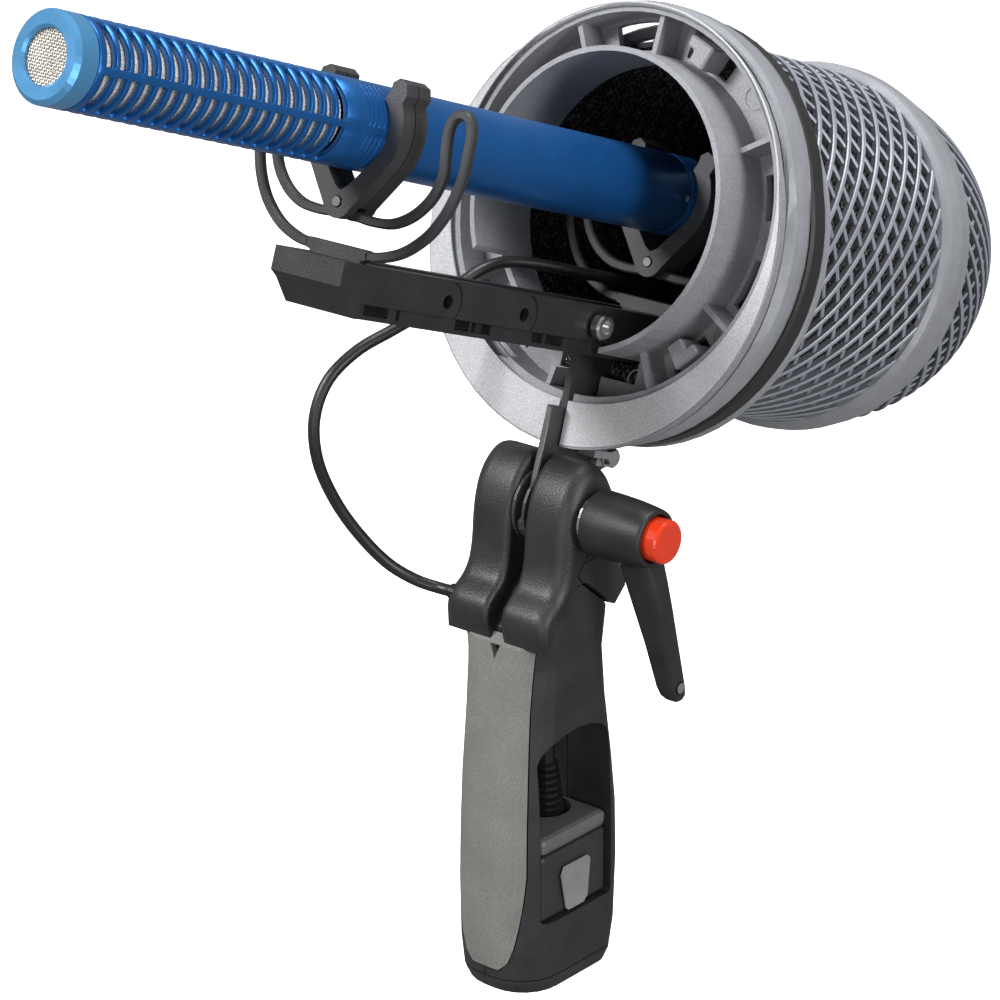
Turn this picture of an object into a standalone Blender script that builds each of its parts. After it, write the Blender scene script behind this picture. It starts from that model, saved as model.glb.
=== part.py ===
"""Hand-held microphone windshield with its front half taken off.

A pistol grip clamps a thin blade.  The blade carries a suspension bar and a
round basket ring; two lyre springs on the bar hold a shotgun microphone, and a
lattice basket closes the rear half.

Row frame: origin at the centre of the grip's base, +Z up along the grip, -Y
towards the microphone's tip, +X on the clamp lever's side.  Pieces of the head
are drawn in the ring frame: origin on the basket's axis at the front lip of
the collar, with the same axis directions before the head is tilted back.
All numbers are millimetres and become metres when a mesh is made.
"""
import math

import bmesh
import bpy
from mathutils import Vector

MM = 0.001
SHARP_EDGE = math.radians(35)
GAP = 0.35

# Clamp: the head turns about the X axis through the pivot.
PIVOT = (0.0, 4.5, 130.0)
REST_TILT = math.radians(20)
RING_FROM_PIVOT = (0.0, -8.0, 79.3)
PIVOT_IN_RING = (8.0, -79.3)
BLADE_HALF = 1.0
SLOT_HALF = 2.3
CHEEK_SIDE = 16.8
BOLT_R = 2.9
GLAND = (-12.0, 107.0)

# Microphone, in the ring frame.
MIC_Z = 5.4
MIC_R = 10.5
MIC_BORE = 9.4
MIC_TIP_Y = -197.4
MIC_END_Y = 37.0

# Basket and its ring, in the ring frame.
COLLAR_IN = 38.0
COLLAR_OUT = 39.4
WALL_IN = 49.5
WALL_OUT = 50.8
WALL_END = 22.8
FLANGE_R = 57.0
FLANGE_DROP = 6.5
BASKET_R = 48.4
BASKET_LOW = -0.65
BASKET_WALL = 1.3
BASKET_START = 31.8
BAND_START = 90.5
BAND_END = 103.8
DOME_END = 159.0

# Suspension, in the ring frame.
BAR_HALF = 11.0
BAR_TOP = -25.7
BAR_BOTTOM = -38.5
BAR_FRONT = -101.0
BAR_REAR = 46.0
LYRE_THICK = 2.4
LYRE_FRONT_Y = -91.2
LYRE_REAR_Y = 33.6
CLIP_THICK = 8.8

# Grip.
BASE_CAP = 4.0
PAD_THICK = 2.0
WINDOW = ((-12.8, 14.5), (20.5, 66.0))


# ---------------------------------------------------------------- helpers

def material(name, colour, roughness, metallic=0.0):
    made = bpy.data.materials.new(name)
    made.use_nodes = True
    shader = made.node_tree.nodes["Principled BSDF"]
    shader.inputs["Base Color"].default_value = (*colour, 1.0)
    shader.inputs["Roughness"].default_value = roughness
    shader.inputs["Metallic"].default_value = metallic
    return made


def empty(name, parent, place, turn_x=0.0):
    frame = bpy.data.objects.new(name, None)
    bpy.context.collection.objects.link(frame)
    frame.parent = parent
    frame.location = Vector(place) * MM
    frame.rotation_euler = (turn_x, 0.0, 0.0)
    return frame


def solid(name, points, faces, home, look):
    """One object from points in millimetres; with no look it is a helper that isn't a part."""
    mesh = bpy.data.meshes.new(name)
    mesh.from_pydata([Vector(p) * MM for p in points], [], faces)
    work = bmesh.new()
    work.from_mesh(mesh)
    bmesh.ops.recalc_face_normals(work, faces=work.faces)
    work.to_mesh(mesh)
    work.free()
    mesh.shade_smooth()
    mesh.set_sharp_from_angle(angle=SHARP_EDGE)
    made = bpy.data.objects.new(name, mesh)
    bpy.context.collection.objects.link(made)
    made.parent = home
    if look is None:
        made.hide_render = True
        made.display_type = "WIRE"
    else:
        mesh.materials.append(look)
    return made


def on_axis(axis, u, v, w):
    """The point with coordinate w along the axis, and u, v along the other two in X, Y, Z order."""
    if axis == "X":
        return (w, u, v)
    if axis == "Y":
        return (u, w, v)
    return (u, v, w)


def loops_to_solid(name, loops, home, look, closed=False):
    """Skins loops of equal length: capped at both ends, or closed into a ring."""
    count = len(loops[0])
    points = [p for loop in loops for p in loop]
    faces = []
    steps = len(loops) if closed else len(loops) - 1
    for i in range(steps):
        a = i * count
        b = (i + 1) % len(loops) * count
        for k in range(count):
            n = (k + 1) % count
            faces.append((a + k, a + n, b + n, b + k))
    if not closed:
        faces.append(tuple(range(count)))
        faces.append(tuple(range(len(points) - count, len(points))))
    return solid(name, points, faces, home, look)


def prism(name, outline, axis, start, end, home, look):
    loops = [[on_axis(axis, u, v, w) for u, v in outline] for w in (start, end)]
    return loops_to_solid(name, loops, home, look)


def box(name, low, high, home, look):
    (x0, y0, z0), (x1, y1, z1) = low, high
    outline = [(x0, y0), (x1, y0), (x1, y1), (x0, y1)]
    return prism(name, outline, "Z", z0, z1, home, look)


def turned(name, profile, axis, centre, home, look, steps=32):
    """A closed profile of (radius, place along the axis) turned about the axis through centre."""
    points = []
    rings = []
    for r, w in profile:
        if r == 0:
            rings.append([len(points)] * steps)
            points.append(on_axis(axis, centre[0], centre[1], w))
            continue
        rings.append(list(range(len(points), len(points) + steps)))
        for k in range(steps):
            angle = 2 * math.pi * k / steps
            u = centre[0] + r * math.cos(angle)
            v = centre[1] + r * math.sin(angle)
            points.append(on_axis(axis, u, v, w))
    faces = []
    for i, ring in enumerate(rings):
        other = rings[(i + 1) % len(rings)]
        if profile[i][0] == 0 and profile[(i + 1) % len(profile)][0] == 0:
            continue
        for k in range(steps):
            n = (k + 1) % steps
            face = [ring[k], ring[n], other[n], other[k]]
            faces.append(tuple(dict.fromkeys(face)))
    return solid(name, points, faces, home, look)


def rod(name, radius, axis, centre, start, end, home, look, steps=24):
    profile = [(0, start), (radius, start), (radius, end), (0, end)]
    return turned(name, profile, axis, centre, home, look, steps)


def tube(name, inner, outer, axis, centre, start, end, home, look, steps=32):
    profile = [(inner, start), (outer, start), (outer, end), (inner, end)]
    return turned(name, profile, axis, centre, home, look, steps)


def combine(obj, operation, other):
    step = obj.modifiers.new(other.name, "BOOLEAN")
    step.operation = operation
    step.solver = "EXACT"
    step.object = other
    other.hide_render = True
    other.display_type = "WIRE"


def cut(obj, *cutters):
    for cutter in cutters:
        combine(obj, "DIFFERENCE", cutter)


def join(obj, *others):
    for other in others:
        combine(obj, "UNION", other)


def soften(obj, width, segments=2, angle=40):
    step = obj.modifiers.new("Soft edges", "BEVEL")
    step.width = width * MM
    step.segments = segments
    step.limit_method = "ANGLE"
    step.angle_limit = math.radians(angle)
    step.harden_normals = False


def arc(centre, radius, start, end, steps):
    """Points on a circle from start to end, in degrees."""
    angles = [math.radians(start + (end - start) * k / steps) for k in range(steps + 1)]
    return [(centre[0] + radius * math.cos(a), centre[1] + radius * math.sin(a)) for a in angles]


def ribbon(path, width):
    """The outline of a flat strip that follows a line of (u, v) points."""
    sides = ([], [])
    for i, here in enumerate(path):
        before = Vector(path[max(i - 1, 0)])
        after = Vector(path[min(i + 1, len(path) - 1)])
        along = (after - before).normalized()
        across = Vector((-along.y, along.x)) * width / 2
        sides[0].append(tuple(Vector(here) + across))
        sides[1].append(tuple(Vector(here) - across))
    return sides[0] + sides[1][::-1]


# ---------------------------------------------------------------- looks

LOOKS = {
    "black_plastic": ((0.028, 0.028, 0.030), 0.55),
    "grip_plastic": ((0.045, 0.045, 0.048), 0.60),
    "pad_rubber": ((0.25, 0.245, 0.235), 0.80),
    "band_rubber": ((0.030, 0.030, 0.032), 0.75),
    "boot_rubber": ((0.018, 0.018, 0.018), 0.60),
    "cable_jacket": ((0.022, 0.022, 0.022), 0.55),
    "silver_paint": ((0.48, 0.49, 0.50), 0.38),
    "basket_paint": ((0.38, 0.41, 0.45), 0.40),
    "liner_fabric": ((0.015, 0.015, 0.016), 0.90),
    "rim_grey": ((0.20, 0.20, 0.20), 0.50),
    "badge_grey": ((0.35, 0.35, 0.36), 0.45),
    "orange_button": ((0.85, 0.08, 0.01), 0.30),
    "lyre_plastic": ((0.060, 0.060, 0.062), 0.50),
}
METALS = {
    "blue_anodised": ((0.03, 0.14, 0.45), 0.35),
    "tip_anodised": ((0.10, 0.32, 0.62), 0.30),
    "grille_steel": ((0.62, 0.60, 0.56), 0.35),
    "chrome": ((0.80, 0.80, 0.80), 0.15),
    "brass": ((0.75, 0.58, 0.28), 0.30),
    "blade_metal": ((0.30, 0.30, 0.31), 0.40),
}


# ---------------------------------------------------------------- grip

def grip_section(z, half, front, back, front_r, back_r, inset=0.0, turn=0.0):
    """One outline of the handle at height z; inset shrinks it, and turn is the pad's share of the front arc."""
    loop = []
    half = half - inset
    front = front + inset
    back = back - inset
    front_r = front_r - inset
    back_r = max(back_r - inset, 0.5)
    corners = (
        ((half - back_r, back - back_r), back_r, 0, 90),
        ((-half + back_r, back - back_r), back_r, 90, 180),
        ((-half + front_r, front + front_r), front_r, 180, 270),
        ((half - front_r, front + front_r), front_r, 270, 360),
    )
    for centre, radius, start, end in corners:
        loop += [(x, y, z) for x, y in arc(centre, radius, start + turn, end - turn, 6)]
    return loop


# Height, half width, front, back, front radius, back radius.
HANDLE = (
    (0.0, 13.4, -17.6, 17.6, 11.5, 6.0),
    (3.0, 14.3, -19.2, 19.0, 12.5, 6.5),
    (12.0, 14.8, -20.2, 20.6, 13.0, 7.0),
    (30.0, 15.2, -20.4, 21.0, 13.5, 7.0),
    (46.0, 15.1, -19.9, 20.7, 13.5, 7.0),
    (60.0, 14.9, -19.0, 19.2, 13.0, 7.0),
    (78.0, 14.6, -17.2, 16.4, 12.5, 6.5),
    (92.0, 14.6, -15.2, 14.8, 11.0, 6.0),
    (102.0, 15.3, -14.2, 15.4, 9.0, 6.0),
    (114.0, 15.8, -13.6, 16.0, 8.0, 6.0),
)


def handle_at(z):
    """The handle's sizes at height z, read between its stations."""
    for low, high in zip(HANDLE, HANDLE[1:]):
        if z <= high[0]:
            share = (z - low[0]) / (high[0] - low[0])
            return [a + (b - a) * share for a, b in zip(low, high)]
    return list(HANDLE[-1])


# The joint between the handle and the clamp head, seen from the side: (y, z).
JOINT_LINE = [(-17.5, 96.6), (-14.0, 98.8), (-5.6, 109.2), (-1.5, 113.0), (1.5, 113.0), (13.0, 103.6), (19.5,
    101.0)]


def window_outline(grow=0.0):
    """The side window: straight sides and an arched top, as (y, z)."""
    (front, back), (low, high) = WINDOW
    front -= grow
    back += grow
    low -= grow
    middle = (front + back) / 2
    reach = (back - front) / 2
    rise = 7.0
    top = [(middle + reach * math.cos(math.pi * k / 8),
        high + rise * math.sin(math.pi * k / 8)) for k in range(9)]
    return [(front, low + 0.9), (front + 0.9, low), (back - 0.9, low), (back, low + 0.9)] + top


# Height, and how far round the handle the pad reaches there: the angle from straight ahead, in degrees.
PAD_EDGE = ((7.0, 12.0), (9.5, 24.0), (14.0, 32.0), (20.0, 38.0), (27.0, 43.0), (35.0, 46.5), (60.0, 45.5),
    (80.0, 43.0), (110.0, 40.0))


def pad_edge_turn(z):
    for low, high in zip(PAD_EDGE, PAD_EDGE[1:]):
        if z <= high[0]:
            return low[1] + (high[1] - low[1]) * max(z - low[0], 0.0) / (high[0] - low[0])
    return PAD_EDGE[-1][1]


def pad_loop(z):
    """One section of the front pad: an outer arc on the handle's surface and an inner arc under it."""
    _, half, front, _, radius, _ = handle_at(z)
    turn = pad_edge_turn(z)
    outer = []
    inner = []
    for k in range(11):
        angle = -90 - turn + 2 * turn * k / 10
        for store, shrink in ((outer, 0.0), (inner, PAD_THICK)):
            side = half - radius if math.cos(math.radians(angle)) > 0 else radius - half
            if k == 5:
                side = 0.0
            x = side + (radius - shrink) * math.cos(math.radians(angle))
            y = front + radius + (radius - shrink) * math.sin(math.radians(angle))
            store.append((x, y, z))
    return outer + inner[::-1]


def grip(looks):
    """The handle's two shells, its pads, the base and what shows in its window."""
    plastic = looks["grip_plastic"]
    heights = [BASE_CAP + GAP, 8, 12, 20, 30, 38, 46, 53, 60, 69, 78, 85, 92, 97, 102, 108, 114]
    above = prism("joint_cutter", JOINT_LINE + [(30, 101), (30, 150), (-30, 150), (-30, 96.6)], "X", -25, 25,
        None, None)
    window = prism("window_cutter", window_outline(), "X", -25, 25, None, None)
    pad_heights = [7.0, 8.0, 9.5, 14, 20, 27, 35, 46, 60, 70, 80, 88, 94, 99, 105]
    pad_room = pad_heights[:-1] + [106.0]
    for side, sign in (("left", -1), ("right", 1)):
        loops = [grip_section(*handle_at(z)) for z in heights]
        shell = loops_to_solid(f"grip_shell_{side}", loops, None, plastic)
        keep_low, keep_high = ((-25, -40, -5), (-0.15, 40, 130)) if sign < 0 else ((0.15, -40, -5), (25, 40,
            130))
        half = box(f"half_keeper_{side}", keep_low, keep_high, None, None)
        combine(shell, "INTERSECT", half)
        cut(shell, above, window)
        room = loops_to_solid(f"pad_room_{side}", [grown_pad_loop(z) for z in pad_room], None, None)
        cut(shell, room)
        cut(shell, tube_hole(f"insert_room_{side}", 9.3, "Z", (0, 0), -1, 16.3))
        cut(shell, tube_hole(f"lead_room_{side}", 2.2, "Z", (0, 5), 60, 88))
    pad = loops_to_solid("front_pad", [pad_loop(z) for z in pad_heights], None, looks["pad_rubber"])
    under_joint = [(-30, 93.4), (-17.8, 95.4), (-14.2, 97.8), (-5.6, 108.6), (-1.5, 112.0), (-1.5, 150),
        (-30, 150)]
    cut(pad, prism("pad_top_cutter", under_joint, "X", -25, 25, None, None))
    notch = [(-1.7, 97.6), (0.0, 93.6), (1.7, 97.6)]
    cut(pad, prism("pad_notch", notch, "Y", -25, -5, None, None))
    cap_loops = [grip_section(*handle_at(z)) for z in (0.0, 3.0, BASE_CAP)]
    cap = loops_to_solid("base_cap", cap_loops, None, plastic)
    cut(cap, tube_hole("cap_hole", 9.3, "Z", (0, 0), -1, 10))
    profile = [(4.8, 0.2), (9.0, 0.2), (9.0, 3.0), (7.6, 3.8), (7.6, 16.0), (4.8, 16.0)]
    turned("thread_insert", profile, "Z", (0, 0), None, looks["brass"], 24)
    connector(looks)


def grown_pad_loop(z):
    """The pad's section with its gap: a little outside the handle, and a little under the pad."""
    _, half, front, _, radius, _ = handle_at(z)
    turn = pad_edge_turn(z) + 1.6
    outer = []
    inner = []
    for k in range(11):
        angle = -90 - turn + 2 * turn * k / 10
        for store, shrink in ((outer, -1.5), (inner, PAD_THICK + GAP)):
            side = half - radius if math.cos(math.radians(angle)) > 0 else radius - half
            if k == 5:
                side = 0.0
            x = side + (radius - shrink) * math.cos(math.radians(angle))
            y = front + radius + (radius - shrink) * math.sin(math.radians(angle))
            store.append((x, y, z if z > 7.0 else z - 0.4))
    return outer + inner[::-1]


def tube_hole(name, radius, axis, centre, start, end, home=None, steps=24):
    return rod(name, radius, axis, centre, start, end, home, None, steps)


def connector(looks):
    """The cable socket in the window: its block, the raised rim, the ribbed boot and a blank badge."""
    (front, back), (low, _) = WINDOW
    y0 = front + GAP
    y1 = back - GAP
    body = box("connector_block", (-13.6, y0, low + GAP), (13.6, y1, 39.6), None, looks["grip_plastic"])
    soften(body, 1.2)
    rim = box("connector_rim", (-13.9, y0, 39.9), (13.9, y1, 44.6), None, looks["rim_grey"])
    soften(rim, 1.6)
    cut(rim, tube_hole("rim_bore", 7.2, "Z", (0, 5), 38, 48, None, 24))
    profile = [(1.75, 40.2), (6.4, 40.2), (6.4, 42.0)]
    for k in range(8):
        radius = 5.5 - 0.24 * k
        z = 42.8 + 1.9 * k
        profile += [(radius - 0.8, z), (radius, z + 0.45), (radius, z + 1.3)]
    profile += [(2.9, 58.2), (2.9, 62.4), (1.75, 62.4)]
    turned("cable_boot", profile, "Z", (0, 5), None, looks["boot_rubber"], 16)
    rod("inner_lead", 1.45, "Z", (0, 5), 40.6, 87.0, None, looks["cable_jacket"], 12)
    badge = [(-5.4, 32.4), (-4.2, 34.6), (5.6, 34.6), (6.8, 33.4), (5.6, 22.8), (3.8, 20.9 + GAP), (-2.4,
        20.9 + GAP), (-3.4, 22.4)]
    plate = prism("badge_plate", badge, "X", 13.9, 14.6, None, looks["badge_grey"])
    soften(plate, 0.25, 1)


def cheek_outline():
    """The clamp cheek seen from the side, as (y, z, share of the edge rounding)."""
    nose = [(-14.0, 100.0, 0.2), (-15.6, 103.5, 0.4), (-15.0, 108.2, 0.45), (-10.7, 111.6, 0.55), (-7.9,
        115.0, 0.9)]
    front = [(-7.1, 118.2, 1), (-6.8, 122.0, 1), (-6.5, 126.0, 1)]
    crown = []
    for k in range(15):
        angle = math.radians(172 - 172 * k / 14)
        crown.append((4.9 + 11.1 * math.cos(angle), 130.6 + 14.0 * math.sin(angle), 1))
    knuckle = [(15.8, 121.0, 0.8), (17.0, 115.4, 0.6), (19.3, 111.6, 0.5), (19.3, 107.2, 0.4), (13.6, 103.9,
        0.1)]
    seat = [(1.7, 113.5, 0.1), (-1.7, 113.5, 0.1), (-5.8, 110.0, 0.1)]
    return nose + front + crown + knuckle + seat


def inset(outline, amount):
    """The outline moved inwards by amount times each point's share."""
    moved = []
    count = len(outline)
    for k, (u, v, share) in enumerate(outline):
        before = Vector(outline[k - 1][:2])
        here = Vector((u, v))
        after = Vector(outline[(k + 1) % count][:2])
        normals = [Vector((d.y, -d.x)).normalized() for d in (here - before, after - here)]
        away = (normals[0] + normals[1]) / (1 + normals[0].dot(normals[1]))
        moved.append(tuple(here + away * amount * share))
    return moved


def rounded_prism(name, outline, start, end, near, far, home, look):
    """An extrusion along X whose edges are rounded by radius near at start and far at end."""
    sign = 1 if end > start else -1
    steps = 3
    loops = []
    for radius, edge, way in ((near, start, 1), (far, end, -1)):
        side = []
        for k in range(steps + 1):
            angle = math.pi / 2 * k / steps
            x = edge + sign * way * radius * (1 - math.sin(angle))
            side.append([(x, y, z) for y, z in inset(outline, radius * (1 - math.cos(angle)))])
        loops.append(side)
    return loops_to_solid(name, loops[0][::-1] + loops[1], home, look)


def clamp(looks):
    """Two cheeks that squeeze the blade, and the bolt, nut and washers on the tilt axis."""
    y, z = PIVOT[1], PIVOT[2]
    plastic = looks["grip_plastic"]
    for side, sign in (("left", -1), ("right", 1)):
        outline = cheek_outline()
        cheek = rounded_prism(f"clamp_cheek_{side}", outline, sign * SLOT_HALF, sign * CHEEK_SIDE, 2.0, 4.8,
            None, plastic)
        cut(cheek, tube_hole(f"bolt_room_{side}", BOLT_R + 0.2, "X", (y, z), -30, 30))
    left = bpy.data.objects["clamp_cheek_left"]
    cut(left, prism("nut_room", arc((y, z), 5.6, 0, 300, 5), "X", -20, -12.4, None, None))
    cut(left, prism("gland_room", arc(GLAND, 2.5, 7, 347, 17), "X", -20.0, -8.6, None, None))
    profile = [(0, -16.2), (BOLT_R, -16.2), (BOLT_R, 30.0), (0, 30.0)]
    turned("clamp_bolt", profile, "X", (y, z), None, looks["chrome"], 20)
    nut = prism("clamp_nut", arc((y, z), 5.2, 0, 300, 5), "X", -16.6, -12.7, None, looks["chrome"])
    cut(nut, tube_hole("nut_thread", BOLT_R + 0.1, "X", (y, z), -20, -10))
    for side, sign in (("left", -1), ("right", 1)):
        start, end = sorted((sign * (BLADE_HALF + 0.25), sign * (SLOT_HALF - 0.25)))
        tube(f"friction_washer_{side}", BOLT_R + 0.3, 10.0, "X", (y, z), start, end, None,
            looks["blade_metal"])
    tube("lever_washer", BOLT_R + 0.3, 7.2, "X", (y, z), 17.1, 18.2, None, looks["chrome"])
    profile = [(0, -16.7), (2.2, -16.7), (2.2, -9.0), (0, -9.0)]
    turned("cable_gland", profile, "X", GLAND, None, looks["boot_rubber"], 16)


# ---------------------------------------------------------------- lever

def lever(looks, home):
    """The clamp lever about the pivot, with its insert, spring, tip screw and push button."""
    body = looks["black_plastic"]
    profile = [
        (5.0, 18.5), (8.5, 18.5), (8.8, 19.3), (8.5, 29.0), (7.7, 36.4), (7.2, 37.2), (6.2, 37.2), (6.2, 31.0), (5.0, 31.0),
    ]
    hub = turned("lever_arm", profile, "X", (0, 0), home, body, 32)
    stations = (
        (-5.7, 0.0, 27.2, 36.9, 4.4), (-12.0, 1.4, 27.6, 37.8, 3.9), (-20.0, 3.0, 29.0, 38.6, 3.3),
        (-31.0, 5.1, 31.4, 39.2, 3.0), (-43.0, 7.6, 33.2, 39.6, 2.8),
    )
    loops = []
    for z, y, inner, outer, half in stations:
        corner = 1.1
        loop = [
            (inner + corner, y - half, z), (outer - corner, y - half, z), (outer, y - half + corner, z),
            (outer, y + half - corner, z), (outer - corner, y + half, z), (inner + corner, y + half, z),
            (inner, y + half - corner, z), (inner, y - half + corner, z),
        ]
        loops.append(loop)
    z, y, inner, outer, half = -46.6, 8.3, 34.9, 39.0, 1.7
    tip = [
        (inner + 0.7, y - half, z), (outer - 0.7, y - half, z), (outer, y - half + 0.7, z),
        (outer, y + half - 0.7, z), (outer - 0.7, y + half, z), (inner + 0.7, y + half, z),
        (inner, y + half - 0.7, z), (inner, y - half + 0.7, z),
    ]
    loops.append(tip)
    arm = loops_to_solid("lever_arm_bar", loops, home, None)
    join(hub, arm)
    cut(hub, tube_hole("lever_bore_cut", 6.2, "X", (0, 0), 31.0, 39.5, home, 32))
    cut(hub, tube_hole("tip_screw_room", 1.75, "X", (7.5, -42.6), 37.2, 42.0, home, 16))
    tube("lever_insert", BOLT_R + 0.08, 4.7, "X", (0, 0), 18.6, 28.0, home, looks["brass"], 24)
    profile = [(0, 37.5), (1.45, 37.5), (1.45, 39.8), (0, 40.1)]
    turned("lever_tip_screw", profile, "X", (7.5, -42.6), home, looks["chrome"], 16)


def button(looks, home):
    """The orange push button in the hub's mouth, and the spring behind it."""
    profile = [(0, 34.6), (5.75, 34.6), (5.75, 40.5), (5.4, 41.0), (4.6, 41.3), (0, 41.3)]
    turned("push_button", profile, "X", (0, 0), home, looks["orange_button"], 32)


def lever_spring(looks, home):
    """The return spring between the insert and the button, drawn at its pressed length."""
    coils = 4.0
    steps = 40
    points = []
    for k in range(steps + 1):
        angle = 2 * math.pi * coils * k / steps
        x = 28.9 + 2.2 * k / steps
        points.append((x, 4.0 * math.cos(angle), 4.0 * math.sin(angle)))
    curve = bpy.data.curves.new("button_spring", "CURVE")
    curve.dimensions = "3D"
    spline = curve.splines.new("POLY")
    spline.points.add(len(points) - 1)
    for target, point in zip(spline.points, points):
        target.co = (*(Vector(point) * MM), 1.0)
    curve.bevel_depth = 0.2 * MM
    curve.bevel_resolution = 1
    curve.use_fill_caps = True
    spring = bpy.data.objects.new("button_spring", curve)
    curve.materials.append(looks["chrome"])
    spring.parent = home
    bpy.context.collection.objects.link(spring)


# ---------------------------------------------------------------- head

def blade(looks, home):
    """The thin plate that the clamp holds and that carries the ring and the bar."""
    py, pz = PIVOT_IN_RING
    foot = arc((py, pz), 9.6, 213, 380, 14)
    outline = [(2.0, -53.2), (2.0, -80.6), (0.2, -84.0)] + foot[1:]
    outline += [(21.0, -71.4), (29.6, -67.4), (29.6, -61.6), (22.6, -61.6), (22.6, BAR_BOTTOM - GAP), (7.2,
        BAR_BOTTOM - GAP), (7.2, -53.2)]
    plate = prism("blade", outline, "X", -BLADE_HALF, BLADE_HALF, home, looks["blade_metal"])
    cut(plate, tube_hole("blade_bore", BOLT_R + 0.25, "X", (py, pz), -5, 5, home))
    cut(plate, tube_hole("blade_screw_hole", 1.6, "X", (26.0, -64.3), -5, 5, home, 12))


def suspension_bar(looks, home):
    """The bar under the microphone: a channel with ribbed pockets below and holes through its sides."""
    nose = [(BAR_FRONT, BAR_TOP), (BAR_FRONT, -31.6), (-98.6, -33.2), (-93.5, BAR_BOTTOM)]
    outline = nose + [(BAR_REAR - 2, BAR_BOTTOM), (BAR_REAR, BAR_BOTTOM + 3), (BAR_REAR, BAR_TOP)]
    bar = prism("suspension_bar", outline, "X", -BAR_HALF, BAR_HALF, home, looks["black_plastic"])
    soften(bar, 0.5, 1)
    pockets = ((-91, -77), (-74.5, -66), (-56, -45), (-42.5, -36), (-26, -12), (29, 42))
    for k, (start, end) in enumerate(pockets):
        cut(bar, box(f"pocket_{k}", (-9.0, start, BAR_BOTTOM - 1), (9.0, end, BAR_TOP - 4.0), home, None))
    for y in (-61.0, -31.0):
        cut(bar, tube_hole(f"side_hole_{-y:.0f}", 1.7, "X", (y, -31.0), -12, 12, home, 16))
    cut(bar, tube_hole("bar_screw_room", 2.1, "X", (-1.0, -30.6), 2, 12, home, 16))
    cut(bar, box("bar_slot", (-1.3, 6.6, BAR_BOTTOM - 1), (1.3, 23.2, BAR_BOTTOM + 1.0), home, None))
    for k, y in enumerate((LYRE_FRONT_Y, LYRE_REAR_Y)):
        low = y - LYRE_THICK / 2 - GAP
        high = y + LYRE_THICK / 2 + GAP
        cut(bar, box(f"lyre_seat_{k}", (-8.4, low, BAR_TOP - 2.4), (8.4, high, BAR_TOP + 1), home, None))
    profile = [(0, 3.0), (1.8, 3.0), (1.8, 11.3), (3.4, 11.3), (3.4, 13.6), (2.9, 14.2), (1.9, 14.2), (1.9,
        12.6), (0, 12.6)]
    turned("bar_screw", profile, "X", (-1.0, -30.6), home, looks["chrome"], 20)


def saddle(looks, home):
    """The small bracket under the ring that the blade's rear corner is screwed to."""
    low = box("ring_saddle", (1.35, 15.6, -64.5), (7.0, 23.0, -62.6), home, looks["silver_paint"])
    ear = box("saddle_ear", (1.35, 22.0, -67.0), (3.4, 29.0, -61.4), home, None)
    join(low, ear)
    cut(low, tube_hole("ear_hole", 1.6, "X", (26.0, -64.3), 0, 8, home, 12))
    profile = [(0, -2.2), (1.3, -2.2), (1.3, 3.7), (2.6, 3.7), (2.6, 5.6), (2.2, 6.0), (0, 6.0)]
    turned("saddle_screw", profile, "X", (26.0, -64.3), home, looks["chrome"], 16)


def rim_radius(angle, drop, size, least):
    """Distance from the basket's axis to a circle hung below it, at an angle from +X."""
    s = math.sin(angle)
    c = math.cos(angle)
    return max(least, -drop * s + math.sqrt(size * size - (drop * c) ** 2))


def flange_radius(angle):
    """The front flange: a circle hung low, cut back to the wall above with a corner at each shoulder."""
    degrees = math.degrees(angle) % 360
    full = rim_radius(angle, FLANGE_DROP, FLANGE_R, 51.3) - 3.0 * max(math.cos(angle), 0.0) ** 1.5
    shoulder = min(abs(degrees - 36), abs(degrees - 144))
    if 36 < degrees < 144:
        ease = min(shoulder / 14, 1.0)
        return full + (51.3 - full) * ease
    return full


def basket_loop(radius_of, y, steps=64):
    loop = []
    for k in range(steps):
        angle = 2 * math.pi * k / steps
        r = radius_of(angle)
        loop.append((r * math.cos(angle), y, r * math.sin(angle)))
    return loop


def steady(radius):
    return lambda angle: radius


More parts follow.
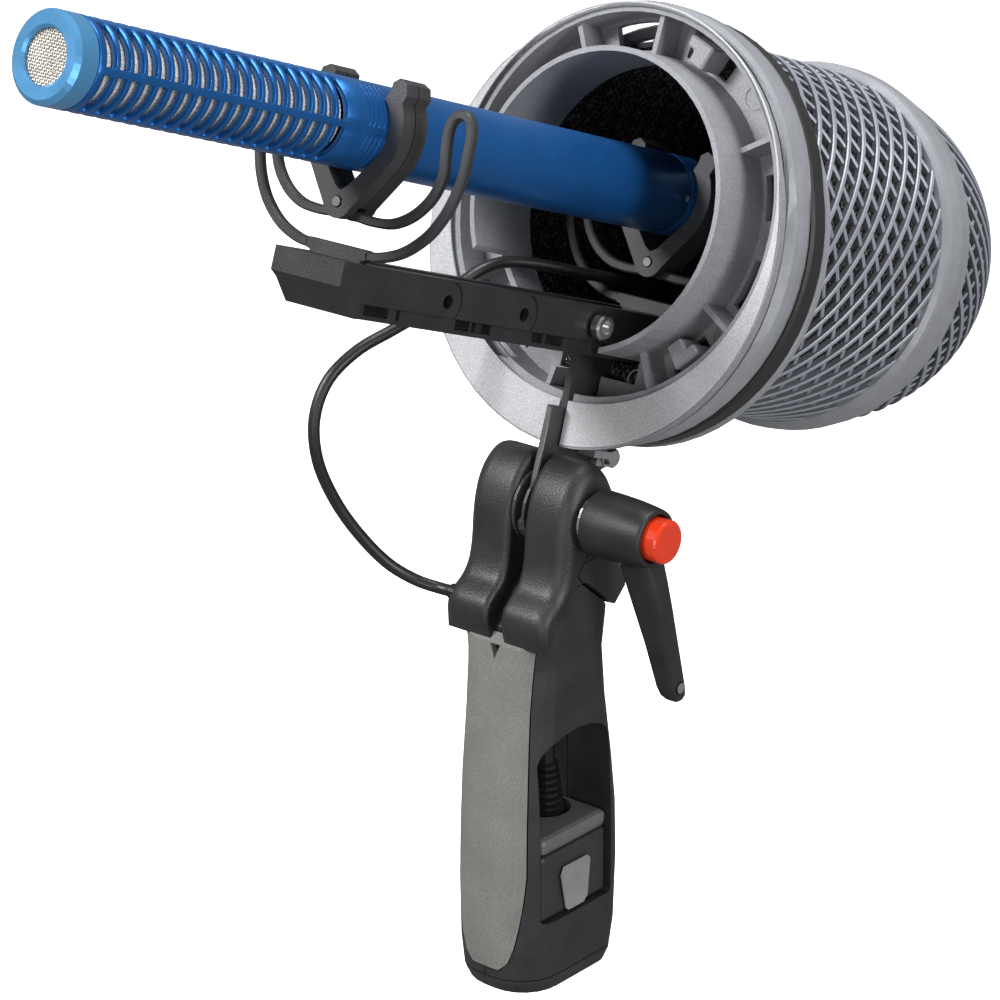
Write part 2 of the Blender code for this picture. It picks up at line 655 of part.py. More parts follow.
def front_ring(looks, home):
    """The ring's moulding: collar, floor, ribs, bosses, outer wall and the eccentric flange."""
    lip = lambda a: min(52.2, flange_radius(a) - 0.7)
    loops = [
        basket_loop(steady(COLLAR_IN), 0.0), basket_loop(steady(COLLAR_OUT), 0.0),
        basket_loop(steady(COLLAR_OUT + 0.4), 18.5), basket_loop(steady(WALL_IN), 18.5),
        basket_loop(steady(WALL_IN), 8.7), basket_loop(lip, 8.7), basket_loop(lambda a: lip(a) + 0.2, 7.8),
        basket_loop(flange_radius, 7.4), basket_loop(flange_radius, 9.6),
        basket_loop(steady(WALL_OUT), 10.6), basket_loop(steady(WALL_OUT), WALL_END),
        basket_loop(steady(WALL_IN), WALL_END), basket_loop(steady(WALL_IN), 20.5),
        basket_loop(steady(COLLAR_OUT + 0.4), 20.5), basket_loop(steady(COLLAR_OUT), 24.0),
        basket_loop(steady(COLLAR_IN), 24.0),
    ]
    ring = loops_to_solid("front_ring", loops, home, looks["silver_paint"], closed=True)
    for k, degrees in enumerate((119, 88, 30, -30, -62, -100, 212, 165)):
        angle = math.radians(degrees)
        along = Vector((math.cos(angle), math.sin(angle)))
        across = Vector((-along.y, along.x)) * 0.7
        ends = (along * (COLLAR_OUT - 0.4), along * (WALL_IN + 0.5))
        outline = [tuple(ends[0] + across), tuple(ends[0] - across), tuple(ends[1] - across),
            tuple(ends[1] + across)]
        join(ring, prism(f"rib_{k}", outline, "Y", 10.0, 19.0, home, None))
    for k, (start, end) in enumerate(((62, 82), (94, 112), (6, 22), (-26, -8), (-58, -42), (224, 240), (172,
        186))):
        outline = arc((0, 0), 40.9, start, end, 5) + arc((0, 0), 48.4, end, start, 5)
        cut(ring, prism(f"floor_window_{k}", outline, "Y", 17, 22, home, None))
    cut(ring, box("bar_passage", (-12.4, -2, -44.0), (12.4, 30, -24.0), home, None))
    cut(ring, box("blade_passage", (-1.35, -2, -70.0), (1.35, 23.6, -36.0), home, None))
    pass_outline = [(-34.5, -45.0), (-34.5, -19.5), (-32.0, -16.0), (-27.0, -15.0), (-23.5, -17.5), (-22.0,
        -22.0), (-22.0, -45.0)]
    cut(ring, prism("cable_passage", pass_outline, "Y", -2, 12.5, home, None))
    band(looks, home)


def band(looks, home):
    """The painted band, the black rubber band and the two catches that hold the front basket."""
    low = lambda a: 0.5 - 0.5 * math.sin(a)
    inner = steady(WALL_OUT + GAP)
    full = lambda a: rim_radius(a, FLANGE_DROP, FLANGE_R, 51.3)
    edge = lambda a: max(52.4, flange_radius(a) - 0.9)
    loops = []
    for radius, shift in ((inner, 0), (edge, 0), (lambda a: max(52.9, full(a) - 1.6), 1.5)):
        loop = basket_loop(radius, 10.9 + shift)
        loops.append([(x, y + 2.2 * low(math.atan2(z, x)) ** 3, z) for x, y, z in loop])
    loops.append(basket_loop(lambda a: max(52.9, full(a) - 1.5), 15.6))
    loops.append(basket_loop(lambda a: max(52.8, full(a) - 2.0), 18.4))
    loops.append(basket_loop(lambda a: max(52.4, full(a) - 3.2), 20.9))
    loops.append(basket_loop(lambda a: max(51.9, full(a) - 4.2), 21.7))
    loops.append(basket_loop(inner, 21.7))
    painted = loops_to_solid("ring_band", loops, home, looks["silver_paint"], closed=True)
    rubber_r = lambda a: rim_radius(a, 6.6, 54.2, 51.9)
    loops = [
        basket_loop(inner, 22.1), basket_loop(lambda a: rubber_r(a) - 0.7, 22.1),
        basket_loop(rubber_r, 22.9), basket_loop(rubber_r, 27.4),
        basket_loop(lambda a: rubber_r(a) - 0.6, 28.3), basket_loop(inner, 28.3),
    ]
    rubber = loops_to_solid("rubber_band", loops, home, looks["band_rubber"], closed=True)
    for piece in (painted, rubber):
        cutter = box(f"{piece.name}_slot", (-1.35, -2, -70.0), (1.35, 30, -40.0), home, None)
        cut(piece, cutter)
    for name, degrees in (("catch_upper", 70), ("catch_lower", -46)):
        catch(name, math.radians(degrees), looks, home)


def catch(name, angle, looks, home):
    """A white hooked catch standing in the ring's channel."""
    loop = []
    for r, turn in ((41.2, -0.085), (47.9, -0.085), (47.9, 0.085), (44.6, 0.085), (44.6, 0.03), (41.2, 0.03)):
        loop.append((r * math.cos(angle + turn), r * math.sin(angle + turn)))
    piece = prism(name, loop, "Y", 9.2, 18.1, home, looks["silver_paint"])
    soften(piece, 0.5, 1)


def basket(looks, home):
    """The rear basket: front rim, lattice tube, middle band and dome, with a fabric liner inside each."""
    paint = looks["basket_paint"]
    inner = BASKET_R - BASKET_WALL
    bore = steady(inner + 0.2)
    rim_r = lambda a: rim_radius(a, 6.4, 53.9, 50.4)
    rim = [
        basket_loop(bore, 28.7), basket_loop(lambda a: rim_r(a) - 0.5, 28.7), basket_loop(rim_r, 29.1),
        basket_loop(rim_r, 30.6), basket_loop(lambda a: rim_r(a) - 0.9, 31.5), basket_loop(bore, 31.5),
    ]
    loops_to_solid("basket_rim", rim, home, looks["silver_paint"], closed=True)
    tube("basket_tube", inner, BASKET_R, "Y", (0, 0), BASKET_START, BAND_START - GAP, home, paint, 64)
    middle = [
        (inner, BAND_START), (48.7, BAND_START), (50.2, BAND_START + 1.0), (50.5, BAND_START + 2.4),
        (50.5, BAND_END - 6.0), (49.2, BAND_END), (inner, BAND_END),
    ]
    turned("basket_band", middle, "Y", (0, 0), home, looks["silver_paint"], 64)
    outer_arc = dome_profile(48.2, 0.0)
    inner_arc = dome_profile(48.2 - BASKET_WALL, BASKET_WALL)
    turned("basket_dome", outer_arc + inner_arc[::-1], "Y", (0, 0), home, paint, 48)
    lining = inner - 0.35
    tube("liner_tube", lining - 0.7, lining, "Y", (0, 0), BASKET_START, BAND_END, home,
        looks["liner_fabric"], 48)
    outside = dome_profile(lining - 0.6, 2.4, 6)
    inside = dome_profile(lining - 1.3, 3.1, 6)
    turned("liner_dome", outside + inside[::-1], "Y", (0, 0), home, looks["liner_fabric"], 48)


def dome_profile(radius, back_off, steps=8):
    """The dome's outline: a flattened quarter of an oval from the band to the axis."""
    start = BAND_END + GAP
    reach = DOME_END - start - back_off
    points = []
    for k in range(steps + 1):
        angle = math.pi / 2 * k / steps
        r = radius * math.cos(angle) ** 1.12 if k < steps else 0
        points.append((r, start + reach * math.sin(angle) ** 1.12))
    return points


# ---------------------------------------------------------------- suspension

def lyre_line():
    """The middle line of one half of a lyre spring, base to centre, as (x, z)."""
    outer = [(6.0, -23.6), (13.0, -23.3), (18.5, -21.4), (23.0, -18.4), (26.8, -14.4), (30.0, -8.6), (31.9,
        -1.5), (31.9, 5.0)]
    bend = arc((28.2, 9.2), 3.4, 0, 180, 8)
    inner = [(25.6, 4.0), (26.2, -1.5), (24.4, -7.2), (20.2, -12.0), (14.8, -14.9), (9.0, -15.6), (0.0,
        -15.3)]
    return outer + bend + inner


def lyre(name, y, looks, home):
    half = lyre_line()
    line = [(-u, v) for u, v in half] + [(u, v) for u, v in half[::-1]][1:]
    outline = ribbon(line, 2.5)
    start = y - LYRE_THICK / 2
    end = y + LYRE_THICK / 2
    strands = prism(name, outline, "Y", start, end, home, looks["lyre_plastic"])
    foot = [(-8.0, -27.8), (8.0, -27.8), (8.0, -25.3), (9.4, -24.9), (9.4, -22.4), (-9.4, -22.4), (-9.4,
        -24.9), (-8.0, -25.3)]
    join(strands, prism(f"{name}_foot", foot, "Y", start, end, home, None))
    soften(strands, 0.35, 1)


def clip_outline():
    """One clip half: a round foot, two arms that follow the microphone and a curled tip on each, as (x, z)."""
    foot = arc((0, -12.2), 4.5, -90, -22, 5)
    arm = arc((0, MIC_Z), 15.0, -38, 20, 7)
    tip = [(13.1, 12.7), (14.0, 14.6), (13.2, 17.2), (11.0, 18.2), (9.1, 17.0), (8.9, 15.0)]
    grip_arc = arc((0, MIC_Z), MIC_R + 0.35, 44, -38, 8)
    notch = [(5.6, -4.6), (1.8, -9.0), (0.0, -10.0)]
    right = foot + arm + tip + grip_arc + notch
    left = [(-x, z) for x, z in right[-2::-1]]
    return right + left[:-1]


def clip(name, y, looks, home):
    """The two halves of a clip, which hold the lyre between them, and the pin through their foot."""
    half = CLIP_THICK / 2
    spans = (("front", y - half, y - GAP / 2), ("rear", y + GAP / 2, y + half))
    room = box(f"{name}_lyre_room", (-13, y - LYRE_THICK / 2 - GAP, -17.4), (13, y + LYRE_THICK / 2 + GAP,
        -13.2), home, None)
    for side, start, end in spans:
        piece = prism(f"{name}_{side}", clip_outline(), "Y", start, end, home, looks["lyre_plastic"])
        cut(piece, room)
        cut(piece, tube_hole(f"{name}_{side}_pin_room", 1.5, "Y", (0, -12.8), start - 2, end + 2, home, 12))
    profile = [(0, y - half - 0.4), (1.2, y - half - 0.4), (1.2, y + half + 1.4), (2.4, y + half + 1.4)]
    profile += [(2.4, y + half + 2.9), (0, y + half + 2.9)]
    turned(f"{name}_pin", profile, "Y", (0, -12.8), home, looks["chrome"], 14)


def microphone(looks, home):
    """The shotgun microphone: body tube, tip ring, grille, screen, rear cap, pins and side screw."""
    centre = (0, MIC_Z)
    tube("mic_body", MIC_BORE, MIC_R, "Y", centre, MIC_TIP_Y + 6.3, MIC_END_Y - 10.3, home,
        looks["blue_anodised"], 40)
    ring = [
        (6.3, MIC_TIP_Y + 1.2), (6.3, MIC_TIP_Y + 0.5), (7.0, MIC_TIP_Y), (9.3, MIC_TIP_Y), (MIC_R,
            MIC_TIP_Y + 1.0),
        (MIC_R, MIC_TIP_Y + 6.0), (7.6, MIC_TIP_Y + 6.0), (7.6, MIC_TIP_Y + 1.2),
    ]
    turned("mic_tip_ring", ring, "Y", centre, home, looks["tip_anodised"], 40)
    grille = [(0, MIC_TIP_Y + 1.6), (7.2, MIC_TIP_Y + 1.6), (7.2, MIC_TIP_Y + 3.0), (0, MIC_TIP_Y + 3.0)]
    turned("mic_front_grille", grille, "Y", centre, home, looks["grille_steel"], 32)
    tube("mic_screen", 8.3, 9.0, "Y", centre, MIC_TIP_Y + 6.6, -110.0, home, looks["grille_steel"], 32)
    cap = [
        (0, MIC_END_Y - 14.0), (9.0, MIC_END_Y - 14.0), (9.0, MIC_END_Y - 10.0), (MIC_R,
            MIC_END_Y - 10.0), (MIC_R, MIC_END_Y - 0.6),
        (MIC_R - 0.6, MIC_END_Y), (9.0, MIC_END_Y), (9.0, MIC_END_Y - 8.0), (0, MIC_END_Y - 8.0),
    ]
    turned("mic_rear_cap", cap, "Y", centre, home, looks["blue_anodised"], 40)
    rod("mic_screw", 0.9, "X", (24.6, MIC_Z), 10.75, 11.3, home, looks["chrome"], 12)
    plug = [
        (0, MIC_END_Y - 7.6), (8.6, MIC_END_Y - 7.6), (8.6, MIC_END_Y + 1.0), (9.2, MIC_END_Y + 1.0),
        (9.2, MIC_END_Y + 18.0), (8.4, MIC_END_Y + 24.0), (0, MIC_END_Y + 24.0),
    ]
    turned("cable_plug", plug, "Y", centre, home, looks["black_plastic"], 32)
    boot = [(2.0, MIC_END_Y + 24.4), (5.6, MIC_END_Y + 24.4), (3.3, MIC_END_Y + 38.0), (2.0,
        MIC_END_Y + 38.0)]
    turned("plug_boot", boot, "Y", centre, home, looks["boot_rubber"], 24)


# ---------------------------------------------------------------- cable

CABLE_R = 1.6
# The cable's route in the ring frame, from the gland on the left cheek to the plug.
CABLE_ROUTE = (
    (-17.2, 0.36, -106.56), (-21.0, 0.1, -106.7), (-26.5, -3.6, -106.0), (-31.8, -10.0, -103.0), (-36.4,
        -18.6, -96.6),
    (-39.6, -27.0, -88.8), (-41.4, -34.4, -79.6), (-42.0, -38.2, -69.4), (-41.2, -37.2, -59.2), (-38.8,
        -31.4, -50.4),
    (-35.6, -23.0, -43.4), (-32.4, -15.2, -36.6), (-29.8, -8.6, -29.2), (-28.0, -2.0, -23.6), (-26.4, 5.4,
        -20.6),
    (-22.4, 14.0, -19.6), (-16.6, 24.0, -19.5), (-12.4, 33.6, -19.4), (-12.4, 45.0, -20.6), (-15.0, 58.0,
        -22.4), (-16.6, 70.0, -22.6),
    (-15.4, 81.4, -20.6), (-12.2, 91.0, -15.6), (-7.2, 96.6, -8.6), (-3.0, 97.4, -1.4), (-0.6, 92.6, 3.4),
    (0.0, 84.0, 5.3), (0.0, 75.4, 5.4),
)


def smooth_points(route, spacing):
    """Evenly spaced points on a smooth curve through the route's points."""
    fine = []
    route = [Vector(p) for p in route]
    padded = [route[0] * 2 - route[1], *route, route[-1] * 2 - route[-2]]
    for a, b, c, d in zip(padded, padded[1:], padded[2:], padded[3:]):
        for k in range(20):
            t = k / 20
            fine.append(0.5 * (b * 2 + (c - a) * t + (a * 2 - b * 5 + c * 4 - d) * t * t + (b * 3 - a - c * 3 + d) * t ** 3))
    fine.append(route[-1])
    total = sum((b - a).length for a, b in zip(fine, fine[1:]))
    count = round(total / spacing)
    even = [fine[0]]
    walked = 0.0
    wanted = total / count
    for a, b in zip(fine, fine[1:]):
        step = (b - a).length
        while walked + step >= wanted * len(even) - 1e-9 and len(even) < count:
            even.append(a.lerp(b, (wanted * len(even) - walked) / step))
        walked += step
    even.append(fine[-1])
    return even


def cable(looks, home):
    curve = bpy.data.curves.new("cable", "CURVE")
    curve.dimensions = "3D"
    points = smooth_points(CABLE_ROUTE, 5.4)
    spline = curve.splines.new("POLY")
    spline.points.add(len(points) - 1)
    for target, point in zip(spline.points, points):
        target.co = (*(point * MM), 1.0)
    curve.bevel_depth = CABLE_R * MM
    curve.bevel_resolution = 2
    curve.use_fill_caps = True
    curve.materials.append(looks["cable_jacket"])
    made = bpy.data.objects.new("cable", curve)
    made.parent = home
    bpy.context.collection.objects.link(made)


def main():
    for old in list(bpy.data.objects):
        bpy.data.objects.remove(old, do_unlink=True)
    looks = {name: material(name, *values) for name, values in LOOKS.items()}
    looks |= {name: material(name, *values, metallic=1.0) for name, values in METALS.items()}
    grip(looks)
    clamp(looks)
    lever_home = empty("lever_pivot", None, PIVOT)
    lever(looks, lever_home)
    lever_spring(looks, lever_home)
    button(looks, empty("button_axis", lever_home, (0, 0, 0)))
    head = empty("head_pivot", None, PIVOT, -REST_TILT)
    ring_home = empty("ring_frame", head, RING_FROM_PIVOT)
    blade(looks, ring_home)
    suspension_bar(looks, ring_home)
    saddle(looks, ring_home)
    front_ring(looks, ring_home)
    basket(looks, empty("basket_axis", ring_home, (0, 0, BASKET_LOW)))
    for name, y in (("lyre_front", LYRE_FRONT_Y), ("lyre_rear", LYRE_REAR_Y)):
        lyre(name, y, looks, ring_home)
    float_home = empty("float_axis", ring_home, (0, 0, 0))
    for name, y in (("clip_front", LYRE_FRONT_Y), ("clip_rear", LYRE_REAR_Y)):
        clip(name, y, looks, float_home)
    microphone(looks, float_home)
    cable(looks, ring_home)


main()
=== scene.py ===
"""Looks for the hand-held microphone windshield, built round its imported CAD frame.

Pieces of the head are drawn in the ring frame, in millimetres: origin on the ring's axis at
the front lip of its collar, -Y towards the microphone's tip.  HEAD places them in the row frame.
"""
import math

import bmesh
import bpy
from mathutils import Matrix, Vector


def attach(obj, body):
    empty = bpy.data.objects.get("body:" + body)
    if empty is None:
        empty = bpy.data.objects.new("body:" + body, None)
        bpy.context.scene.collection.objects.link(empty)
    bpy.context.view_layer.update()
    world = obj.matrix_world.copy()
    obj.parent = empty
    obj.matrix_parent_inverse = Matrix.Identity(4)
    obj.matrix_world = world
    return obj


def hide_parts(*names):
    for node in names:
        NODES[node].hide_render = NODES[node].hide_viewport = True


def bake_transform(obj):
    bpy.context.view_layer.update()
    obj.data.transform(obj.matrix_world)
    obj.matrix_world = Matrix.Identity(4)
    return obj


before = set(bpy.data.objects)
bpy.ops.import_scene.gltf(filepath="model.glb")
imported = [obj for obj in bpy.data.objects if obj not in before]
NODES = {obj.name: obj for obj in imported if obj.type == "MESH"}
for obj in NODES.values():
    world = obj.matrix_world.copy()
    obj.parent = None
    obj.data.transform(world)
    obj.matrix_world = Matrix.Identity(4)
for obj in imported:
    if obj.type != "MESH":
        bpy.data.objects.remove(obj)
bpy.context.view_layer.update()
MM = 0.001
PIVOT_Y = 4.5
PIVOT_Z = 130.0
PIVOT = Vector((0.0, PIVOT_Y, PIVOT_Z)) * MM
HEAD_TILT = -20
HEAD = (
    Matrix.Translation(PIVOT)
    @ Matrix.Rotation(math.radians(HEAD_TILT), 4, "X")
    @ Matrix.Translation(Vector((0.0, -8.0, 79.3)) * MM)
)
ROW = Matrix.Identity(4)
MIC_Z = 5.4  # the microphone's axis above the ring's
BASKET_Z = -0.65  # the basket's axis below the ring's


# ---------------------------------------------------------------- materials

def new_material(name, colour, roughness, metallic=0.0):
    made = bpy.data.materials.new(name)
    made.use_nodes = True
    shader = made.node_tree.nodes["Principled BSDF"]
    shader.inputs["Base Color"].default_value = (*colour, 1.0)
    shader.inputs["Roughness"].default_value = roughness
    shader.inputs["Metallic"].default_value = metallic
    return made, made.node_tree, shader


def noise_node(tree, size, detail=3.0, stretch=(1, 1, 1)):
    """Noise in object space whose features are about size millimetres."""
    where = tree.nodes.new("ShaderNodeTexCoord")
    fit = tree.nodes.new("ShaderNodeMapping")
    fit.inputs["Scale"].default_value = Vector(stretch) / (size * MM)
    made = tree.nodes.new("ShaderNodeTexNoise")
    made.inputs["Scale"].default_value = 1.0
    made.inputs["Detail"].default_value = detail
    tree.links.new(where.outputs["Object"], fit.inputs["Vector"])
    tree.links.new(fit.outputs["Vector"], made.inputs["Vector"])
    return made.outputs["Fac"]


def ramp_node(tree, source, stops):
    made = tree.nodes.new("ShaderNodeValToRGB")
    ramp = made.color_ramp
    ramp.elements[0].position, ramp.elements[1].position = stops[0][0], stops[-1][0]
    ramp.elements[0].color, ramp.elements[1].color = (*stops[0][1], 1), (*stops[-1][1], 1)
    for place, colour in stops[1:-1]:
        ramp.elements.new(place).color = (*colour, 1)
    tree.links.new(source, made.inputs["Fac"])
    return made.outputs["Color"]


def bump_node(tree, height, shader, strength, distance, before=None):
    made = tree.nodes.new("ShaderNodeBump")
    made.inputs["Strength"].default_value = strength
    made.inputs["Distance"].default_value = distance * MM
    tree.links.new(height, made.inputs["Height"])
    if before is not None:
        tree.links.new(before.outputs["Normal"], made.inputs["Normal"])
    tree.links.new(made.outputs["Normal"], shader.inputs["Normal"])
    return made


ROUGH_SPAN = 0.08
SPECKLE_SIZE = 0.42
COAT_ROUGHNESS = 0.12
LEAST_ROUGHNESS = 0.03


def surface(name, colour, roughness, metallic=0.0, grain=0.5, bump=0.25, mottle=0.12,
            mottle_size=9.0, stretch=(1, 1, 1), coat=0.0, speckle=0.0):
    """A moulded, painted or metal surface: fine grain, slow colour variation and uneven gloss."""
    made, tree, shader = new_material(name, colour, roughness, metallic)
    fine = noise_node(tree, grain, 4.0, stretch)
    slow = noise_node(tree, mottle_size, 2.0)
    dark = tuple(c * (1 - mottle) for c in colour)
    light = tuple(min(c * (1 + mottle), 1.0) for c in colour)
    tint = ramp_node(tree, slow, ((0.3, dark), (0.7, light)))
    if speckle:
        dots = noise_node(tree, SPECKLE_SIZE, 2.0)
        pale = ramp_node(tree, dots, ((0.40, (1 - speckle,) * 3), (0.60, (1 + speckle,) * 3)))
        mix = tree.nodes.new("ShaderNodeMix")
        mix.data_type = "RGBA"
        mix.blend_type = "MULTIPLY"
        mix.inputs[0].default_value = 1.0
        tree.links.new(tint, mix.inputs[6])
        tree.links.new(pale, mix.inputs[7])
        tint = mix.outputs[2]
    tree.links.new(tint, shader.inputs["Base Color"])
    uneven = tree.nodes.new("ShaderNodeMapRange")
    uneven.inputs["To Min"].default_value = max(roughness - ROUGH_SPAN, LEAST_ROUGHNESS)
    uneven.inputs["To Max"].default_value = roughness + ROUGH_SPAN
    tree.links.new(slow, uneven.inputs["Value"])
    tree.links.new(uneven.outputs["Result"], shader.inputs["Roughness"])
    bump_node(tree, fine, shader, bump, grain * 0.35)
    if coat:
        shader.inputs["Coat Weight"].default_value = coat
        shader.inputs["Coat Roughness"].default_value = COAT_ROUGHNESS
    return made


def mesh_cloth(name, colour, pitch):
    """Open knitted mesh: crossing ridges with painted highlights on their loops and painted shade
    in the holes between them.
    """
    made, tree, shader = new_material(name, colour, 0.92)
    where = tree.nodes.new("ShaderNodeTexCoord")
    heights = []
    for turn in (45, -45):
        fit = tree.nodes.new("ShaderNodeMapping")
        fit.inputs["Rotation"].default_value = (math.radians(turn), math.radians(turn), 0)
        wave = tree.nodes.new("ShaderNodeTexWave")
        wave.inputs["Scale"].default_value = 0.32 / (pitch * MM)
        wave.inputs["Distortion"].default_value = 1.5
        wave.inputs["Detail Scale"].default_value = 2.0
        tree.links.new(where.outputs["Object"], fit.inputs["Vector"])
        tree.links.new(fit.outputs["Vector"], wave.inputs["Vector"])
        heights.append(wave.outputs["Fac"])
    top = tree.nodes.new("ShaderNodeMath")
    top.operation = "MAXIMUM"
    tree.links.new(heights[0], top.inputs[0])
    tree.links.new(heights[1], top.inputs[1])
    # Noise that picks the loops given the painted highlight; it also feeds the bump.
    loop_highlight_noise = noise_node(tree, 0.9, 5.0)
    both = tree.nodes.new("ShaderNodeMath")
    both.operation = "MULTIPLY"
    tree.links.new(top.outputs[0], both.inputs[0])
    tree.links.new(loop_highlight_noise, both.inputs[1])
    # low is painted shade in the holes, high is painted highlight on the lit loops.
    low = tuple(c * 0.25 for c in colour)
    high = tuple(min(c * 14, 1.0) for c in colour)
    tint = ramp_node(tree, both.outputs[0], ((0.1, low), (0.44, colour), (0.60, high)))
    tree.links.new(tint, shader.inputs["Base Color"])
    bump_node(tree, both.outputs[0], shader, 0.8, pitch * 0.5)
    return made


ALONG_TUBE, UP_BLADE = (1, 3, 1), (1, 1, 0.2)
SURFACES = {
    "black_plastic": dict(colour=(0.016, 0.016, 0.018), roughness=0.46, grain=0.35, bump=0.5,
                          mottle=0.2),
    "grip_plastic": dict(colour=(0.021, 0.021, 0.023), roughness=0.50, grain=0.32, bump=0.55,
                         mottle=0.2),
    "hub_plastic": dict(colour=(0.019, 0.019, 0.021), roughness=0.44, grain=0.5, bump=0.6,
                        mottle=0.2),
    "pad_rubber": dict(colour=(0.170, 0.166, 0.156), roughness=0.74, grain=0.5, bump=0.3,
                       mottle=0.09, mottle_size=14, speckle=0.12),
    # Black band, partly the rubber's own black and partly painted shade for the shadowed fold
    # between the ring's band and its rim.
    "band_rubber": dict(colour=(0.018, 0.018, 0.019), roughness=0.50, grain=0.6, bump=0.15,
                        mottle=0.1),
    "boot_rubber": dict(colour=(0.009, 0.009, 0.010), roughness=0.33, grain=0.8, bump=0.1),
    "cable_jacket": dict(colour=(0.012, 0.012, 0.013), roughness=0.40, grain=0.7, bump=0.15),
    "silver_paint": dict(colour=(0.265, 0.270, 0.285), roughness=0.44, grain=0.30, bump=0.25,
                         mottle=0.06, speckle=0.14),
    # A lighter copy of silver_paint: painted highlight on the flange's front-facing face.
    "face_paint": dict(colour=(0.47, 0.475, 0.49), roughness=0.42, grain=0.30, bump=0.22,
                       mottle=0.05, speckle=0.14),
    "band_paint": dict(colour=(0.30, 0.31, 0.335), roughness=0.32, metallic=0.15, grain=0.4,
                       bump=0.12, mottle=0.06, speckle=0.06, stretch=(1, 0.2, 1)),
    "basket_paint": dict(colour=(0.285, 0.305, 0.350), roughness=0.36, metallic=0.1, grain=0.4,
                         bump=0.12, mottle=0.08),
    # Painted shade: the darker colour of the strands' flanks and undersides.
    "strand_painted_shade": dict(colour=(0.090, 0.094, 0.108), roughness=0.50, grain=0.4, bump=0.12),
    "rim_grey": dict(colour=(0.12, 0.12, 0.12), roughness=0.45, grain=0.4, bump=0.25),
    "badge_grey": dict(colour=(0.24, 0.24, 0.25), roughness=0.42, grain=0.35, bump=0.2),
    "block_plastic": dict(colour=(0.028, 0.028, 0.030), roughness=0.46, grain=0.35, bump=0.4),
    "orange_button": dict(colour=(0.74, 0.040, 0.006), roughness=0.24, grain=1.2, bump=0.05,
                          mottle=0.05, coat=0.5),
    "lyre_plastic": dict(colour=(0.030, 0.030, 0.033), roughness=0.42, grain=0.5, bump=0.3,
                         mottle=0.18),
    "clip_plastic": dict(colour=(0.034, 0.034, 0.036), roughness=0.44, grain=0.45, bump=0.4,
                         mottle=0.18),
    "blue_anodised": dict(colour=(0.014, 0.125, 0.400), roughness=0.34, metallic=0.62,
                          grain=0.35, bump=0.14, mottle=0.06, stretch=ALONG_TUBE),
    "tip_anodised": dict(colour=(0.100, 0.330, 0.62), roughness=0.30, metallic=0.55,
                         grain=0.35, bump=0.1, mottle=0.05, stretch=ALONG_TUBE),
    "grille_steel": dict(colour=(0.66, 0.62, 0.56), roughness=0.40, metallic=0.75, grain=0.3,
                         bump=0.3),
    "screen_steel": dict(colour=(0.80, 0.74, 0.66), roughness=0.46, metallic=0.35, grain=0.3,
                         bump=0.3, speckle=0.25),
    "chrome": dict(colour=(0.68, 0.67, 0.65), roughness=0.20, metallic=1.0, grain=0.6,
                   bump=0.05),
    "brass": dict(colour=(0.75, 0.58, 0.28), roughness=0.30, metallic=1.0, grain=0.4,
                  bump=0.08),
    # Dark metal; on the blade its darkness is partly painted shade for the sides, which sit in
    # shadow.
    "blade_metal": dict(colour=(0.055, 0.055, 0.060), roughness=0.38, metallic=0.4, grain=0.4,
                        bump=0.15, stretch=UP_BLADE),
    # Lighter metal for the blade's front edge: painted highlight.
    "edge_metal": dict(colour=(0.20, 0.20, 0.205), roughness=0.32, metallic=0.8, grain=0.4,
                       bump=0.1, stretch=UP_BLADE),
    # Near-black, dull: painted shade for the hollow inside the microphone's open end.
    "deep_black": dict(colour=(0.004, 0.004, 0.004), roughness=0.75, grain=0.6, bump=0.1),
}
LOOKS = {name: surface(name, **given) for name, given in SURFACES.items()}
LOOKS["liner_fabric"] = mesh_cloth("liner_fabric", (0.012, 0.011, 0.0105), 1.3)


# ---------------------------------------------------------------- mesh helpers

def piece(name, points, faces, look, body, place=HEAD, smooth=40, more=()):
    """One object from points in millimetres, riding on a body."""
    mesh = bpy.data.meshes.new(name)
    mesh.from_pydata([Vector(p) * MM for p in points], [], faces)
    work = bmesh.new()
    work.from_mesh(mesh)
    bmesh.ops.recalc_face_normals(work, faces=work.faces)
    work.to_mesh(mesh)
    work.free()
    mesh.shade_smooth()
    if smooth < 180:
        mesh.set_sharp_from_angle(angle=math.radians(smooth))
    for one in (look, *more):
        mesh.materials.append(LOOKS[one])
    made = bpy.data.objects.new(name, mesh)
    bpy.context.collection.objects.link(made)
    made.matrix_world = place
    if body:
        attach(made, body)
    return made


def gather(parts):
    """Joins (points, faces) lists into one."""
    points, faces = [], []
    for new_points, new_faces in parts:
        start = len(points)
        points += new_points
        faces += [tuple(i + start for i in face) for face in new_faces]
    return points, faces


def skin(loops, closed=False, caps=True):
    """(points, faces) through loops of equal length."""
    count = len(loops[0])
    points = [tuple(p) for loop in loops for p in loop]
    faces = []
    for i in range(len(loops) if closed else len(loops) - 1):
        a, b = i * count, (i + 1) % len(loops) * count
        for k in range(count):
            n = (k + 1) % count
            faces.append((a + k, a + n, b + n, b + k))
    if caps and not closed:
        faces += [tuple(range(count)), tuple(range(len(points) - count, len(points)))]
    return points, faces


def strip(path, outs, section, closed=False):
    """A section of (side, out) offsets swept along a path whose outward directions are given."""
    loops = []
    last = len(path) - 1
    for i, (here, out) in enumerate(zip(path, outs)):
        before = path[i - 1] if closed or i else path[0]
        after = path[(i + 1) % len(path)] if closed or i < last else path[last]
        tangent = (after - before).normalized()
        side = tangent.cross(out).normalized()
        up = side.cross(tangent).normalized()
        loops.append([here + side * u + up * v for u, v in section])
    return skin(loops, closed)


def bar_section(width, low, high, corner):
    """A flat bar's section with its two upper corners cut off."""
    half = width / 2
    return [
        (-half, low), (half, low), (half, high - corner), (half - corner, high),
        (corner - half, high), (-half, high - corner),
    ]


def disc_section(radius, steps=12):
    angles = [2 * math.pi * k / steps for k in range(steps)]
    return [(radius * math.cos(a), radius * math.sin(a)) for a in angles]


CURVE_STEPS = 20


